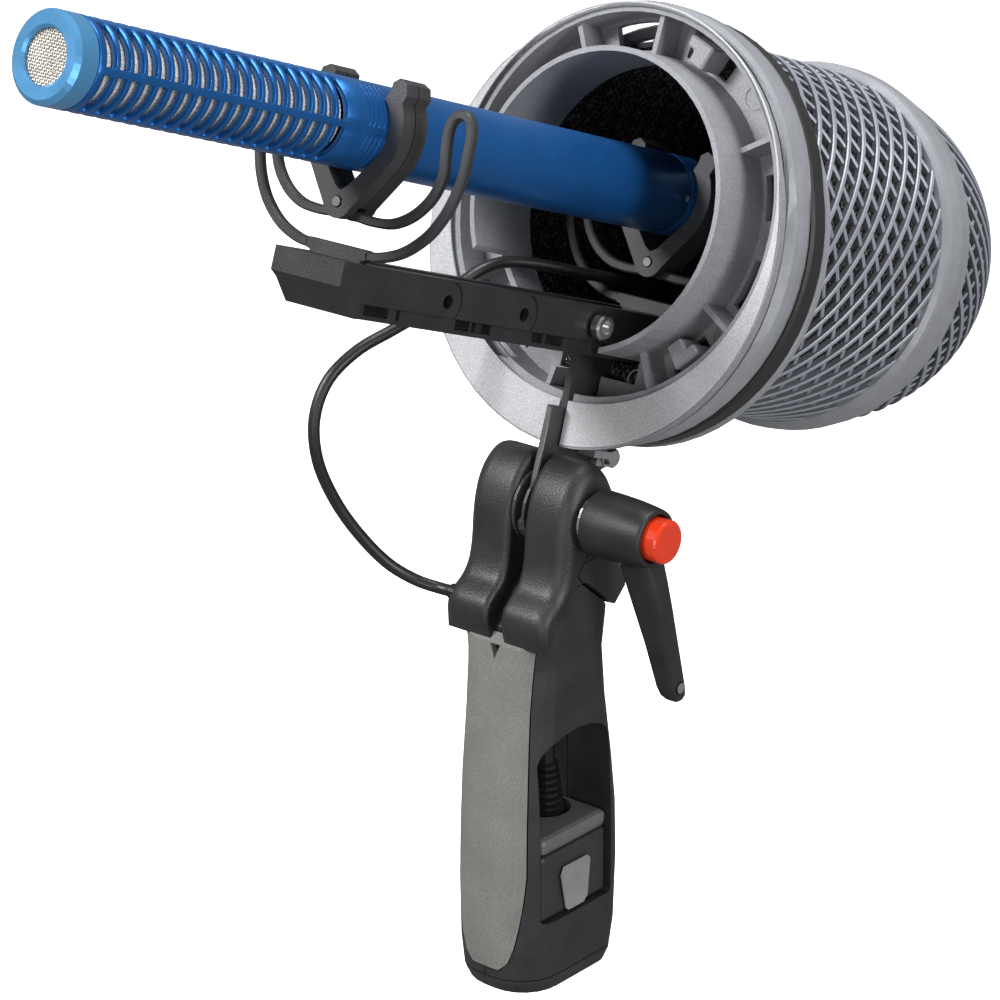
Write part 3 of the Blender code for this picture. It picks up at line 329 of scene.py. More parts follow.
def smooth_line(route, spacing):
    """Evenly spaced points on a smooth curve through the route's points."""
    fine = []
    route = [Vector(p) for p in route]
    padded = [route[0] * 2 - route[1], *route, route[-1] * 2 - route[-2]]
    for a, b, c, d in zip(padded, padded[1:], padded[2:], padded[3:]):
        for k in range(CURVE_STEPS):
            t = k / CURVE_STEPS
            square = a * 2 - b * 5 + c * 4 - d
            cube = b * 3 - a - c * 3 + d
            fine.append(0.5 * (b * 2 + (c - a) * t + square * t * t + cube * t ** 3))
    fine.append(route[-1])
    total = sum((b - a).length for a, b in zip(fine, fine[1:]))
    count = round(total / spacing)
    even, walked, wanted = [fine[0]], 0.0, total / count
    for a, b in zip(fine, fine[1:]):
        step = (b - a).length
        while walked + step >= wanted * len(even) - 1e-9 and len(even) < count:
            even.append(a.lerp(b, (wanted * len(even) - walked) / step))
        walked += step
    even.append(fine[-1])
    return even, total


def soften(obj, width, segments=2, angle=35):
    step = obj.modifiers.new("Soft edges", "BEVEL")
    step.width = width * MM
    step.segments = segments
    step.limit_method = "ANGLE"
    step.angle_limit = math.radians(angle)
    step.use_clamp_overlap = True
    return obj


def cad_look(look, bevel, segments, *names):
    """Gives CAD nodes their material and, where asked, softer edges."""
    for name in names:
        node = NODES[name]
        node.data.materials.clear()
        node.data.materials.append(LOOKS[look])
        node.data.shade_smooth()
        node.data.set_sharp_from_angle(angle=math.radians(38))
        if bevel:
            soften(node, bevel, segments)


def polar(radius, degrees, y, low=0.0):
    a = math.radians(degrees)
    return Vector((radius * math.cos(a), y, low + radius * math.sin(a)))


# ---------------------------------------------------------------- camera and stage

CAMERA_PLACE = (0.56906, -0.67600, 0.46922)
CAMERA_TURN = (69.161, 0.312, 40.493)
CAMERA_LENS = 133.0
CAMERA_SENSOR = 36.0
CAMERA_REACH = 50.0
LIGHT_TARGET = (0, 0, 0.18)
LAMPS = (  # name, place, size, power
    ("key", (-0.7, -1.5, 1.5), (0.6, 0.6), 50),
    ("side", (1.8, -0.2, 0.7), (0.35, 1.3), 22),
    ("top", (0.1, 0.5, 1.9), (0.8, 0.8), 29),
    ("front", (0.9, -1.7, 0.3), (0.5, 0.9), 8),
)
WORLD_STRENGTH = 0.25
FLOOR_Z = -0.30
FLOOR_REACH = 12.0


def camera():
    data = bpy.data.cameras.new("camera")
    data.lens = CAMERA_LENS
    data.sensor_width = CAMERA_SENSOR
    data.clip_end = CAMERA_REACH
    eye = bpy.data.objects.new("camera", data)
    bpy.context.collection.objects.link(eye)
    eye.location = CAMERA_PLACE
    eye.rotation_euler = [math.radians(a) for a in CAMERA_TURN]
    bpy.context.scene.camera = eye


def lamp(name, place, size, power):
    data = bpy.data.lights.new(name, "AREA")
    data.shape = "RECTANGLE"
    data.size, data.size_y = size
    data.energy = power
    made = bpy.data.objects.new(name, data)
    bpy.context.collection.objects.link(made)
    made.location = place
    aim = Vector(LIGHT_TARGET) - Vector(place)
    made.rotation_euler = aim.to_track_quat("-Z", "Y").to_euler()


def studio():
    """White surroundings, four soft lamps and a plain white floor."""
    scene = bpy.context.scene
    scene.view_settings.view_transform = "Standard"
    world = bpy.data.worlds.new("studio")
    scene.world = world
    world.use_nodes = True
    background = world.node_tree.nodes["Background"]
    background.inputs["Color"].default_value = (1, 1, 1, 1)
    background.inputs["Strength"].default_value = WORLD_STRENGTH
    for row in LAMPS:
        lamp(*row)
    mesh = bpy.data.meshes.new("floor")
    corners = ((-1, -1), (1, -1), (1, 1), (-1, 1))
    corners = [(x * FLOOR_REACH, y * FLOOR_REACH, FLOOR_Z) for x, y in corners]
    mesh.from_pydata(corners, [], [(0, 1, 2, 3)])
    made, _, shader = new_material("floor_white", (0.95, 0.95, 0.95), 0.9)
    shader.inputs["Emission Color"].default_value = (1, 1, 1, 1)
    shader.inputs["Emission Strength"].default_value = 1.0
    mesh.materials.append(made)
    floor = bpy.data.objects.new("floor", mesh)
    floor.visible_diffuse = False
    floor.visible_glossy = False
    bpy.context.collection.objects.link(floor)


# ---------------------------------------------------------------- cable

CABLE_R = 1.6
CABLE_SPACING = 2.2
CABLE_ROUTE = (
    (-17.2, 0.36, -106.56), (-21.0, 0.1, -106.7), (-26.5, -3.6, -106.0), (-31.8, -10.0, -103.0),
    (-36.4, -18.6, -96.6), (-39.6, -27.0, -88.8), (-41.4, -34.4, -79.6), (-42.0, -38.2, -69.4),
    (-41.2, -37.2, -59.2), (-38.8, -31.4, -50.4), (-35.6, -23.0, -43.4), (-32.4, -15.2, -36.6),
    (-29.8, -8.6, -29.2), (-28.0, -2.0, -23.6), (-26.4, 5.4, -20.6), (-22.4, 14.0, -19.6),
    (-16.6, 24.0, -19.5), (-12.4, 33.6, -19.4), (-12.4, 45.0, -20.6), (-15.0, 58.0, -22.4),
    (-16.6, 70.0, -22.6), (-15.4, 81.4, -20.6), (-12.2, 91.0, -15.6), (-7.2, 96.6, -8.6),
    (-3.0, 97.4, -1.4), (-0.6, 92.6, 3.4), (0.0, 84.0, 5.3), (0.0, 75.4, 5.4),
)


def cable():
    """The microphone's lead, from the gland on the grip to the plug inside the basket."""
    line, length = smooth_line(CABLE_ROUTE, CABLE_SPACING)
    out = Vector((0, 0, 1)).cross(line[1] - line[0]).normalized()
    outs = []
    for i, here in enumerate(line):
        ahead = (line[min(i + 1, len(line) - 1)] - line[max(i - 1, 0)]).normalized()
        out = (out - ahead * out.dot(ahead)).normalized()
        outs.append(out.copy())
    made = piece("cable_lead", *strip(line, outs, disc_section(CABLE_R, 14)), "cable_jacket", None)
    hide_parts("cable")
    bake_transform(made)


# ---------------------------------------------------------------- basket

LATTICE_R = 48.4
LATTICE_START = 31.0
BAND_START = 90.5
BAND_END = 103.8
DOME_END = 159.0
DOME_POWER = 1.79  # the dome's profile is a superellipse
STRAND_CORNER = 0.28
OUTER_COUNT, OUTER_PHASE, OUTER_SLOPE = 28, -83.1, 1.855  # degrees, degrees for each millimetre
INNER_COUNT, INNER_PHASE, INNER_SLOPE = 30, 101.6, -1.80
DOME_COUNT, DOME_TURN, DOME_SHIFT = 44, 0.95, 3.0
LINING_R = LATTICE_R - 2.6
CROWN_PROFILE = (
    (7.6, DOME_END - 2.2), (8.4, DOME_END - 1.3), (7.8, DOME_END - 0.6), (4.0, DOME_END - 0.15),
    (0.01, DOME_END),
)
CROWN_HOLE = 7.0
CROWN_THICK = 2.2


def dome_radius(y, start_radius):
    t = min(max((y - BAND_END) / (DOME_END - BAND_END), 0.0), 1.0)
    return start_radius * (1 - t ** DOME_POWER) ** (1 / DOME_POWER)


def tube_strand(phase, slope, outer, depth, width):
    """One helical strand of the basket's tube; slope is in degrees for each millimetre."""
    steps = 44
    path, outs = [], []
    for k in range(steps + 1):
        y = LATTICE_START + (BAND_START + 0.6 - LATTICE_START) * k / steps
        spot = polar(outer, phase + slope * y, y)
        path.append(spot)
        outs.append(Vector((spot.x, 0, spot.z)).normalized())
    return strip(path, outs, bar_section(width, -depth, 0.0, STRAND_CORNER))


def dome_strand(phase, turn, drop, depth, width):
    """One strand of the dome, at a fixed angle to the meridian; turn is that angle's tangent."""
    path, outs = [], []
    y, angle = BAND_END - 1.5, phase
    step, probe, most = 1.1, 0.05, 130
    start_radius = LATTICE_R - 0.2
    along = step / math.sqrt(1 + turn * turn)
    while len(path) < most:
        radius = dome_radius(y, start_radius) - drop
        ahead = dome_radius(y + probe, start_radius) - drop
        slant = Vector((ahead - radius, probe)).normalized()
        if radius < CROWN_HOLE:
            break
        path.append(polar(radius, angle, y))
        a = math.radians(angle)
        outs.append(Vector((math.cos(a) * slant.y, -slant.x, math.sin(a) * slant.y)).normalized())
        y += max(along * slant.y, 0.004)
        if slant.y < 0.02:
            break
        angle += math.degrees(along * turn / max(radius, 5.0))
    return strip(path, outs, bar_section(width, -depth, 0.0, STRAND_CORNER))


def paint_strand_shade(obj):
    """Gives a strand's flanks and underside, the faces that do not face outwards, a darker second
    material as painted shade.
    """
    for face in obj.data.polygons:
        spot = face.center
        out = Vector((spot.x, 0.0, spot.z)).normalized()
        if spot.y > BAND_END * MM:
            out = (out + Vector((0, 1, 0)) * (spot.y / MM - BAND_END) / 40.0).normalized()
        if face.normal.dot(out) < 0.35:
            face.material_index = 1


def strands(name, place, parts):
    """One piece of painted strands, with painted shade on their flanks and undersides."""
    made = piece(name, *gather(parts), "basket_paint", "basket", place, more=("strand_painted_shade",))
    paint_strand_shade(made)
    return made


def basket():
    """The lattice of the tube and the dome: an outer family of strands over an inner one."""
    place = HEAD @ Matrix.Translation(Vector((0, 0, BASKET_Z)) * MM)
    over = strands("lattice_outer", place, [
        tube_strand(OUTER_PHASE + 360 / OUTER_COUNT * k, OUTER_SLOPE, LATTICE_R + 0.1, 1.8, 1.5)
        for k in range(OUTER_COUNT)
    ])
    under = strands("lattice_inner", place, [
        tube_strand(INNER_PHASE + 360 / INNER_COUNT * k, INNER_SLOPE, LATTICE_R - 0.75, 1.6, 1.25)
        for k in range(INNER_COUNT)
    ])
    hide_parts("basket_tube")
    turns = [360 / DOME_COUNT * k for k in range(DOME_COUNT)]
    dome = strands("lattice_dome", place, [
        *(dome_strand(turn, -DOME_TURN, 0.0, 1.8, 1.35) for turn in turns),
        *(dome_strand(turn + DOME_SHIFT, DOME_TURN, 0.8, 1.5, 1.1) for turn in turns),
    ])
    cap = [[polar(radius, 360 * k / 40, y) for k in range(40)] for radius, y in CROWN_PROFILE]
    inside = [p - Vector((0, CROWN_THICK, 0)) for p in cap[-1]]
    crown = piece("dome_crown", *skin([inside] + cap), "basket_paint", "basket", place)
    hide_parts("basket_dome")
    lining(place)


def lining(place):
    """The mesh fabric stretched inside the lattice, with a ridge that follows each strand."""
    steps, dome_rows = 196, 22
    loops = []
    stations = [LATTICE_START + 1 + k * 1.2 for k in range(60)]
    dome_length = DOME_END - 3 - BAND_END
    shares = [math.sin(math.pi / 2 * k / dome_rows) for k in range(1, dome_rows + 1)]
    stations += [BAND_END + dome_length * share for share in shares]
    for y in stations:
        radius = dome_radius(y, LINING_R) - 0.8 if y > BAND_END else LINING_R
        radius = max(radius, 0.02)
        loop = []
        for k in range(steps):
            angle = 360 * k / steps
            turn = OUTER_COUNT * (angle - OUTER_SLOPE * y - OUTER_PHASE)
            swell = 0.55 * math.cos(math.radians(turn))
            loop.append(polar(radius + swell * min(radius / 20, 1), angle, y))
        loops.append(loop)
    made = piece("basket_lining", *skin(loops, caps=False), "liner_fabric", "basket", place,
                 smooth=180)
    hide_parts("liner_tube", "liner_dome")


# ---------------------------------------------------------------- microphone

MIC_R = 10.5
MIC_INNER = 8.95
MIC_BODY_START = -191.1
MIC_BODY_END = 26.7
SLOT_PITCH = 4.212
SLOT_WIDTH = 2.95
SLOT_FIRST = -188.85
SLOT_COUNT = 19
GROOVES = (-102.2, -100.5, -98.8, -97.1, -95.4)
GROOVE_HALF = 0.28
GROOVE_DEPTH = 0.4
RIB_COUNT = 5
RIB_FROM = -6.0
RIB_SPAN = 10.0
COLUMNS = 10
COLUMN_SPAN = 6.2
SCREEN_R, SCREEN_START, SCREEN_END = 8.35, -190.6, -110.2
WIRE_R, WIRE_PITCH, WIRE_REACH, WIRE_Y = 0.2, 0.66, 6.9, -195.9
BACKING_Y = -195.2


def mic_body():
    """The interference tube: rows of slots between long ribs, then fine grooves and a barrel."""
    angles, open_columns = [], set()
    for k in range(RIB_COUNT):
        start = RIB_FROM + 360 / RIB_COUNT * k
        angles += [start, start + RIB_SPAN / 2]
        for j in range(COLUMNS):
            open_columns.add(len(angles))
            angles.append(start + RIB_SPAN + COLUMN_SPAN * j)
    rows, slot_rows, groove_rows = [MIC_BODY_START], set(), set()
    for k in range(SLOT_COUNT):
        slot_rows.add(len(rows))
        rows += [SLOT_FIRST + SLOT_PITCH * k, SLOT_FIRST + SLOT_PITCH * k + SLOT_WIDTH]
    for y in GROOVES:
        groove_rows.add(len(rows))
        rows += [y - GROOVE_HALF, y + GROOVE_HALF]
    rows += [-60.0, -30.0, 0.0, MIC_BODY_END]
    mesh = bpy.data.meshes.new("mic_tube")
    work = bmesh.new()
    grid = [[work.verts.new(polar(MIC_R, a, y, MIC_Z) * MM) for a in angles] for y in rows]
    count = len(angles)
    grooves = []
    for i in range(len(rows) - 1):
        for k in range(count):
            if i in slot_rows and k in open_columns:
                continue
            n = (k + 1) % count
            face = work.faces.new((grid[i][k], grid[i][n], grid[i + 1][n], grid[i + 1][k]))
            if i in groove_rows and k in open_columns:
                grooves.append(face)
    bmesh.ops.recalc_face_normals(work, faces=work.faces)
    sunk = bmesh.ops.extrude_face_region(work, geom=grooves)
    bmesh.ops.delete(work, geom=grooves, context="FACES")
    for v in [g for g in sunk["geom"] if isinstance(g, bmesh.types.BMVert)]:
        away = Vector((v.co.x, 0, v.co.z - MIC_Z * MM)).normalized()
        v.co -= away * GROOVE_DEPTH * MM
    work.to_mesh(mesh)
    work.free()
    mesh.shade_smooth()
    mesh.set_sharp_from_angle(angle=math.radians(35))
    mesh.materials.append(LOOKS["blue_anodised"])
    made = bpy.data.objects.new("mic_tube", mesh)
    bpy.context.collection.objects.link(made)
    made.matrix_world = HEAD
    wall = made.modifiers.new("Wall", "SOLIDIFY")
    wall.thickness = (MIC_R - MIC_INNER) * MM
    wall.offset = -1.0
    soften(made, 0.10, 1, 50)
    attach(made, "mic")
    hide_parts("mic_body")


def screen():
    """The woven steel screen behind the slots."""
    steps, rows = 96, 190
    loops = []
    for i in range(rows + 1):
        y = SCREEN_START + (SCREEN_END - SCREEN_START) * i / rows
        loops.append([])
        for k in range(steps):
            weave = 0.16 if (i + k) % 2 else -0.06
            loops[-1].append(polar(SCREEN_R + weave, 360 * k / steps, y, MIC_Z))
    made = piece("mic_inner_screen", *skin(loops, caps=False), "screen_steel", "mic", smooth=180)
    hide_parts("mic_screen")


def front_grille():
    """Crossing wires over the microphone's open end, with a black disc of painted shade behind
    them.
    """
    parts = []
    for way in (0, 1):
        for k in range(-10, 11):
            offset = k * WIRE_PITCH
            half = math.sqrt(max(WIRE_REACH * WIRE_REACH - offset * offset, 0.0))
            if half < 0.8:
                continue
            steps = max(int(half * 2 / (WIRE_PITCH / 2)), 4)
            path = []
            for i in range(steps + 1):
                t = -half + 2 * half * i / steps
                lift = 0.13 * math.cos(math.pi * (t / WIRE_PITCH + k + way))
                x, z = (t, offset) if way == 0 else (offset, t)
                path.append(Vector((x, WIRE_Y + lift, MIC_Z + z)))
            parts.append(strip(path, [Vector((0, -1, 0))] * len(path), disc_section(WIRE_R, 5)))
    made = piece("mic_end_mesh", *gather(parts), "grille_steel", "mic", smooth=180)
    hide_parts("mic_front_grille")
    # A black disc just behind the wires: painted shade of the open end's hollow.
    loops = [[polar(r, 360 * k / 32, BACKING_Y, MIC_Z) for k in range(32)] for r in (7.1, 0.01)]
    dark = piece("mic_end_shade_disc", *skin(loops, caps=False), "deep_black", "mic")


# ---------------------------------------------------------------- suspension

LYRE_HALF = (
    (9.0, -23.7), (13.0, -23.3), (18.5, -21.4), (23.0, -18.4), (26.8, -14.4), (30.0, -8.6),
    (31.9, -1.5), (32.0, 5.0), (31.7, 9.6), (30.4, 12.2), (28.3, 13.0), (26.1, 12.0),
    (25.0, 9.2), (25.4, 4.0), (26.2, -1.5), (24.4, -7.2), (20.2, -12.0), (14.8, -14.9),
    (9.0, -15.6), (4.0, -15.3),
)
LYRE_SECTION = (
    (-1.2, -0.75), (-0.75, -1.2), (0.75, -1.2), (1.2, -0.75),
    (1.2, 0.75), (0.75, 1.2), (-0.75, 1.2), (-1.2, 0.75),
)
LYRE_FOOT = (
    (-8.0, -27.8), (8.0, -27.8), (8.2, -25.2), (9.6, -24.9), (10.2, -23.6),
    (9.4, -22.3), (-9.4, -22.3), (-10.2, -23.6), (-9.6, -24.9), (-8.2, -25.2),
)


def lyre(name, y, node):
    """A sprung lyre: two hairpin loops of one moulded strand, from the bar up to the clip."""
    right, _ = smooth_line([(x, y, z) for x, z in LYRE_HALF], 1.0)
    parts = []
    for sign in (1, -1):
        line = [Vector((p.x * sign, p.y, p.z)) for p in right]
        parts.append(strip(line, [Vector((0, -1, 0))] * len(line), LYRE_SECTION))
    top = [Vector((x, y, -15.3)) for x in (-4.4, 0, 4.4)]
    parts.append(strip(top, [Vector((0, -1, 0))] * len(top), LYRE_SECTION))
    parts.append(skin([[Vector((x, y + side, z)) for x, z in LYRE_FOOT] for side in (-1.2, 1.2)]))
    made = piece(name, *gather(parts), "lyre_plastic", None)
    soften(made, 0.2, 1, 50)
    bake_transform(made)
    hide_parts(node)


# ---------------------------------------------------------------- grip

CHEEK_SIDE = (  # y, z, share of the fillet; the left cheek's outline and the right one's
    (-13.6, 98.0, 0.0), (-14.9, 100.6, 0.3), (-15.7, 104.0, 0.5), (-15.0, 107.9, 0.6),
    (-12.6, 110.4, 0.7), (-9.9, 112.5, 0.8), (-8.3, 115.4, 1), (-7.3, 119.0, 1),
    (-6.8, 123.0, 1), (-6.4, 127.5, 1), (-5.6, 132.0, 1), (-4.2, 136.3, 1),
    (-2.0, 140.0, 1), (1.2, 143.0, 1), (4.9, 144.6, 1), (8.4, 143.8, 1),
    (11.6, 141.2, 1), (14.0, 137.6, 1), (15.5, 133.6, 1), (16.0, 129.4, 1),
    (15.8, 125.0, 0.9), (15.9, 121.0, 0.8), (16.6, 117.0, 0.7), (18.2, 113.8, 0.6),
    (19.4, 110.6, 0.5), (19.3, 107.4, 0.4),
)
CHEEK_SEAT = (
    (13.6, 103.9, 0.1), (1.7, 113.5, 0.1), (-1.7, 113.5, 0.1), (-5.8, 110.0, 0.1),
    (-10.4, 103.9, 0.1),
)
SLOT_HALF = 2.3
CHEEK_OUT = 16.8
INNER_FILLET = 2.2
OUTER_FILLET = 4.8
BOLT_HOLE_R = 3.1
NUT_R = 5.6
GLAND_R, GLAND_Y, GLAND_Z = 2.5, -12.0, 107.0


def shrink(outline, amount):
    """The outline moved inwards by amount times each point's share."""
    moved = []
    count = len(outline)
    for k, (u, v, share) in enumerate(outline):
        before = Vector(outline[k - 1][:2])
        here = Vector((u, v))
        after = Vector(outline[(k + 1) % count][:2])
        normals = [Vector((d.y, -d.x)).normalized() for d in (here - before, after - here)]
        away = (normals[0] + normals[1]) / (1 + normals[0].dot(normals[1]))
        moved.append(here + away * amount * share)
    return moved


def carved(obj, cutters):
    """The object with the cutters taken away, kept as one mesh."""
    tools = []
    for k, (points, faces) in enumerate(cutters):
        place = obj.matrix_world.copy()
        tool = piece(f"{obj.name}_tool_{k}", points, faces, "black_plastic", None, place)
        step = obj.modifiers.new("cut", "BOOLEAN")
        step.operation = "DIFFERENCE"
        step.solver = "MANIFOLD"
        step.object = tool
        tools.append(tool)
    bpy.context.view_layer.update()
    graph = bpy.context.evaluated_depsgraph_get()
    mesh = bpy.data.meshes.new_from_object(obj.evaluated_get(graph))
    obj.modifiers.clear()
    obj.data = mesh
    for tool in tools:
        bpy.data.objects.remove(tool, do_unlink=True)
    mesh.shade_smooth()
    mesh.set_sharp_from_angle(angle=math.radians(40))
    return obj


def block(low, high):
    (x0, y0, z0), (x1, y1, z1) = low, high
    loop = [(x0, y0), (x1, y0), (x1, y1), (x0, y1)]
    return skin([[Vector((x, y, z)) for x, y in loop] for z in (z0, z1)])


def round_in_x(radius, y, z, steps):
    """(y, z) points round a circle."""
    turns = [2 * math.pi * k / steps for k in range(steps)]
    return [(y + radius * math.cos(a), z + radius * math.sin(a)) for a in turns]


def rod_along_x(radius, y, z, start, end, steps=32):
    circle = round_in_x(radius, y, z, steps)
    return skin([[Vector((x, u, v)) for u, v in circle] for x in (start, end)])


def groove(line, x, width, depth):
    """A shallow trench along a line of (y, z) points on the face at x."""
    parts = []
    for (y0, z0), (y1, z1) in zip(line, line[1:]):
        along = Vector((y1 - y0, z1 - z0)).normalized()
        across = Vector((-along.y, along.x)) * width / 2
        a = Vector((y0, z0)) - along * width / 2
        b = Vector((y1, z1)) + along * width / 2
        loop = [a + across, b + across, b - across, a - across]
        parts.append(skin([[Vector((u, p.x, p.y)) for p in loop] for u in (x - depth, x + 3.0)]))
    return parts


FLANGE_R, FLANGE_DROP, FLANGE_LEAST = 57.0, 6.5, 51.3
FLANGE_TRIM = 3.0
SHOULDER_START, SHOULDER_END, SHOULDER_SPAN = 36, 144, 14
FACE_Y, FACE_THICK = 7.05, 0.5
MARK_DEGREES = (49, -1, -36, -73, 199, 145, 128)
MARK_SECTION = ((-0.16, -0.2), (0.16, -0.2), (0.16, 0.06), (-0.16, 0.06))
# A lighter strip over the blade's front edge, as painted highlight.
BLADE_EDGE_HIGHLIGHT = ((-0.72, 1.7, -80.0), (0.72, 2.3, -53.6))


def flange_edge(degrees):
    """Distance from the ring's axis to the flange's rim."""
    a = math.radians(degrees)
    s, c = math.sin(a), math.cos(a)
    drop = -FLANGE_DROP * s + math.sqrt(FLANGE_R ** 2 - (FLANGE_DROP * c) ** 2)
    full = max(FLANGE_LEAST, drop)
    full -= FLANGE_TRIM * max(c, 0.0) ** 1.5
    if SHOULDER_START < degrees < SHOULDER_END:
        inside = min(degrees - SHOULDER_START, SHOULDER_END - degrees) / SHOULDER_SPAN
        return full + (FLANGE_LEAST - full) * min(inside, 1.0)
    return full


def band_loop(low, high, y, steps=180):
    """A flat ring from low(degrees) to high(degrees), open where the blade passes."""
    angles = [-88.6 + 357.2 * k / steps for k in range(steps + 1)]
    corners = ((low, y), (high, y), (high, y + FACE_THICK), (low, y + FACE_THICK))
    loops = [[polar(f(a % 360), a, depth) for a in angles] for f, depth in corners]
    count = len(angles)
    points = [p for loop in loops for p in loop]
    faces = []
    for i in range(4):
        a, b = i * count, (i + 1) % 4 * count
        faces += [(a + k, a + k + 1, b + k + 1, b + k) for k in range(count - 1)]
    faces.append(tuple(i * count for i in range(4)))
    faces.append(tuple(i * count + count - 1 for i in range(4)))
    return points, faces


def ring_details():
    """The flange's face, a lighter silver as painted highlight, the round ejector marks in the
    channel and the blade's edge, a lighter strip as painted highlight.
    """
    face = band_loop(lambda a: 51.4, lambda a: max(flange_edge(a) - 0.55, 51.9), FACE_Y)
    made = piece("flange_face_highlight", *face, "face_paint", "head")
    soften(made, 0.12, 1)
    parts = []
    for degrees in MARK_DEGREES:
        centre = polar(44.9, degrees, 18.3)
        path = [centre + Vector((u, 0, v)) for u, v in disc_section(3.1, 28)]
        parts.append(strip(path, [Vector((0, -1, 0))] * len(path), MARK_SECTION, closed=True))
    marks = piece("channel_marks", *gather(parts), "silver_paint", "head")
    edge = piece("blade_edge_highlight", *block(*BLADE_EDGE_HIGHLIGHT), "edge_metal", "head")
    soften(edge, 0.15, 1)


HUB_PROFILE = (  # radius, x
    (5.0, 18.5), (8.2, 18.5), (8.6, 18.8), (8.7, 19.3), (8.62, 25.0), (8.4, 30.0),
    (8.0, 34.0), (7.7, 36.2), (7.5, 36.9), (7.1, 37.2), (6.5, 37.2), (6.25, 37.0),
    (6.2, 36.6), (6.2, 31.0), (5.0, 31.0),
)
ARM_STATIONS = (  # z, y, inner x, outer x, half width
    (-6.6, 0.4, 27.2, 36.9, 4.3), (-9.0, 0.8, 27.3, 37.3, 4.1), (-12.0, 1.4, 27.6, 37.8, 3.8),
    (-20.0, 3.0, 29.0, 38.6, 3.3), (-31.0, 5.1, 31.4, 39.2, 3.0), (-43.0, 7.6, 33.2, 39.6, 2.8),
    (-45.4, 8.1, 33.9, 39.5, 2.4), (-46.6, 8.3, 34.9, 39.0, 1.6),
)
ARM_POWER = 0.42  # under 1, so the arm's section is a rounded box


def lever():
    """The clamp lever: a tapered hub with an open mouth, and an arm that narrows to its tip."""
    place = Matrix.Translation(PIVOT)
    loops = [[Vector((x, u, v)) for u, v in disc_section(r, 72)] for r, x in HUB_PROFILE]
    hub = piece("lever_hub", *skin(loops, closed=True), "black_plastic", "lever", place, smooth=50)
    arm = []
    for z, y, inner, outer, half in ARM_STATIONS:
        middle, reach = (inner + outer) / 2, (outer - inner) / 2
        loop = []
        for c, t in disc_section(1, 40):
            x = middle + reach * math.copysign(abs(c) ** ARM_POWER, c)
            loop.append(Vector((x, y + half * math.copysign(abs(t) ** ARM_POWER, t), z)))
        arm.append(loop)
    blank = piece("lever_blade", *skin(arm), "black_plastic", "lever", place, smooth=50)
    carved(blank, [rod_along_x(1.75, 7.5, -42.6, 37.4, 44.0, 24)])
    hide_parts("lever_arm")


BAR_OUTLINE = (
    (-101.0, -25.7), (-101.0, -31.6), (-98.6, -33.2), (-93.5, -38.5), (44.0, -38.5),
    (46.0, -35.5), (46.0, -25.7),
)
BAR_HALF = 11.0
KEEL_NOTCHES = (
    (-89.5, -80.5), (-77.5, -76.3), (-55.2, -49.7), (-48.7, -41.2), (-24.6, -20.2),
    (-19.0, -12.0), (29.0, 41.0),
)
BAR_POCKETS = ((-91, -77), (-74.5, -66), (-56, -45), (-42.5, -36), (-26, -12), (29, 42))
BAR_HOLES, HOLE_Z = (-61.0, -31.0), -31.0
ARC_START, ARC_SPAN, ARC_STEPS, ARC_LOW, ARC_HIGH = 78, 138, 12, 4.9, 5.3
SCREW_Y, SCREW_Z = -1.0, -30.6
LYRE_PLACES = (-91.2, 33.6)


def hole_arc(y, sign):
    """The fine arc moulded round one of the bar's side holes, as a row of short cutters."""
    parts = []
    for k in range(ARC_STEPS):
        a = math.radians(ARC_START - ARC_SPAN * k / ARC_STEPS)
        b = math.radians(ARC_START - ARC_SPAN * (k + 1) / ARC_STEPS)
        spots = []
        for r, t in ((ARC_LOW, a), (ARC_HIGH, a), (ARC_HIGH, b), (ARC_LOW, b)):
            spots.append((y + r * math.cos(t), min(HOLE_Z + r * math.sin(t), -26.0)))
        sides = (sign * 10.6, sign * 12.0)
        parts.append(skin([[Vector((x, u, v)) for u, v in spots] for x in sides]))
    return parts


def bar():
    """The suspension bar: a beam over a narrower keel, with pockets and marked side holes."""
    body = skin([[Vector((x, y, z)) for y, z in BAR_OUTLINE] for x in (-BAR_HALF, BAR_HALF)])
    made = piece("bar_body", *body, "black_plastic", "head")
    cutters = []
    for sign in (-1, 1):
        a, b = sorted((sign * 9.8, sign * 13.0))
        cutters.append(block((a, -92.4, -40.0), (b, 47.0, -34.7)))
        a, b = sorted((sign * 8.0, sign * BAR_HALF))
        cutters += [block((a, low, -37.4), (b, high, -34.9)) for low, high in KEEL_NOTCHES]
    cutters += [block((-8.4, low, -40.0), (8.4, high, -29.7)) for low, high in BAR_POCKETS]
    for y in BAR_HOLES:
        cutters.append(rod_along_x(1.75, y, HOLE_Z, -12, 12))
        for sign in (-1, 1):
            cutters += hole_arc(y, sign)
    cutters.append(rod_along_x(2.1, SCREW_Y, SCREW_Z, 2, 12))
    cutters.append(rod_along_x(4.3, SCREW_Y, SCREW_Z, 10.6, 12))
    cutters.append(block((-1.3, 6.6, -40), (1.3, 23.2, -37.5)))
    cutters.append(block((-4.2, -84.0, -26.9), (4.2, 28.0, -20)))
    for y in LYRE_PLACES:
        cutters.append(block((-8.4, y - 1.55, -28.1), (8.4, y + 1.55, -20)))
    carved(made, cutters)
    soften(made, 0.22, 2, 30)
    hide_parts("suspension_bar")


def fillet_loops(outline, edge, radius, steps=8):
    """The outline swept round a quarter circle, from inset at x = edge to full width."""
    loops = []
    for k in range(steps + 1):
        angle = math.pi / 2 * k / steps
        x = edge + radius * (1 - math.sin(angle))
        inset = shrink(outline, abs(radius) * (1 - math.cos(angle)))
        loops.append([Vector((x, p.x, p.y)) for p in inset])
    return loops


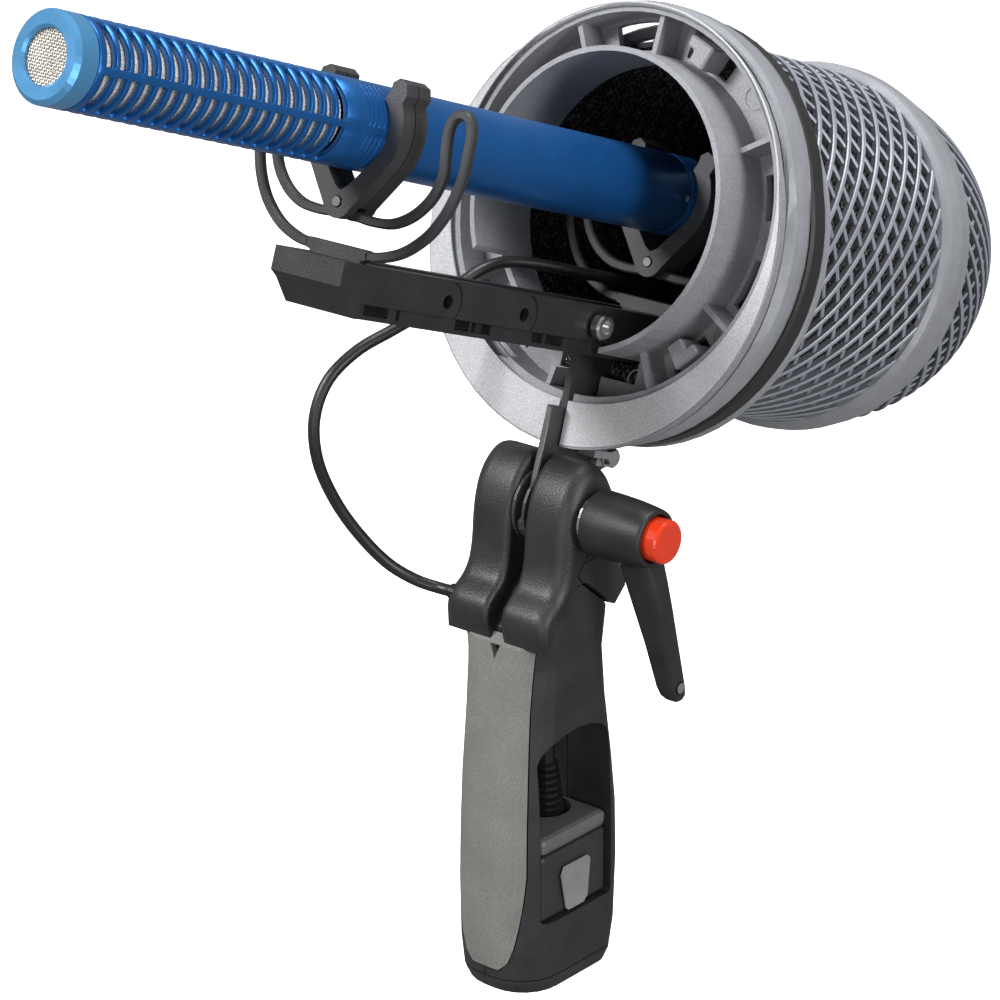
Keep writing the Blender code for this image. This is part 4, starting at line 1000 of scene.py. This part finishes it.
def cheeks():
    """The clamp's two cheeks: large roundings, the joint's fine grooves and the bolt's seat."""
    spine = [Vector(row) for row in CHEEK_SIDE]
    fine, _ = smooth_line(spine, 1.3)
    outline = [(p.x, p.y, min(max(p.z, 0.0), 1.0)) for p in fine] + list(CHEEK_SEAT)
    for side, sign in (("left", -1), ("right", 1)):
        inner = fillet_loops(outline, sign * SLOT_HALF, sign * INNER_FILLET)
        outer = fillet_loops(outline, sign * CHEEK_OUT, -sign * OUTER_FILLET)
        loops = inner[::-1] + outer
        made = piece(f"cheek_{side}", *skin(loops), "hub_plastic", "grip", ROW)
        cutters = [rod_along_x(BOLT_HOLE_R, PIVOT_Y, PIVOT_Z, -30, 30)]
        if side == "left":
            cutters.append(rod_along_x(NUT_R, PIVOT_Y, PIVOT_Z, -20, -12.4, 6))
            cutters.append(rod_along_x(GLAND_R, GLAND_Y, GLAND_Z, -20, -8.6))
        else:
            cutters += groove([(2.2, 121.2), (-1.6, 116.4), (0.6, 113.6)], CHEEK_OUT, 0.45, 0.5)
            cutters += groove([(1.8, 119.2), (5.2, 119.8)], CHEEK_OUT, 0.35, 0.4)
        carved(made, cutters)
        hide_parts(f"clamp_cheek_{side}")


CAD_LOOKS = (  # look, bevel in millimetres, its segments, nodes
    ("grip_plastic", 0.5, 2, "grip_shell_left", "grip_shell_right", "base_cap"),
    ("pad_rubber", 0, 2, "front_pad"),
    ("block_plastic", 0, 2, "connector_block"),
    ("rim_grey", 0, 2, "connector_rim"),
    ("boot_rubber", 0.2, 2, "cable_boot", "cable_gland", "plug_boot"),
    ("cable_jacket", 0, 2, "inner_lead"),
    ("badge_grey", 0, 2, "badge_plate"),
    ("chrome", 0.12, 1, "clamp_bolt", "clamp_nut", "lever_washer", "lever_tip_screw",
     "button_spring", "bar_screw", "saddle_screw", "clip_front_pin", "clip_rear_pin", "mic_screw"),
    ("brass", 0, 2, "thread_insert", "lever_insert"),
    ("blade_metal", 0.12, 1, "friction_washer_left", "friction_washer_right", "blade"),
    ("black_plastic", 0.3, 2, "cable_plug"),
    ("orange_button", 0.3, 3, "push_button"),
    ("silver_paint", 0.15, 1, "front_ring", "ring_saddle", "catch_upper", "catch_lower"),
    ("band_paint", 0, 2, "ring_band", "basket_rim", "basket_band"),
    ("band_rubber", 0, 2, "rubber_band"),
    ("clip_plastic", 0.7, 3, "clip_front_front", "clip_front_rear", "clip_rear_front",
     "clip_rear_rear"),
    ("tip_anodised", 0.15, 2, "mic_tip_ring"),
    ("blue_anodised", 0.15, 2, "mic_rear_cap"),
)


def all_looks():
    for row in CAD_LOOKS:
        cad_look(*row)


def main():
    camera()
    cable()
    studio()
    all_looks()
    basket()
    mic_body()
    screen()
    front_grille()
    lyre("lyre_front_spring", LYRE_PLACES[0], "lyre_front")
    lyre("lyre_rear_spring", LYRE_PLACES[1], "lyre_rear")
    cheeks()
    bar()
    lever()
    ring_details()


main()
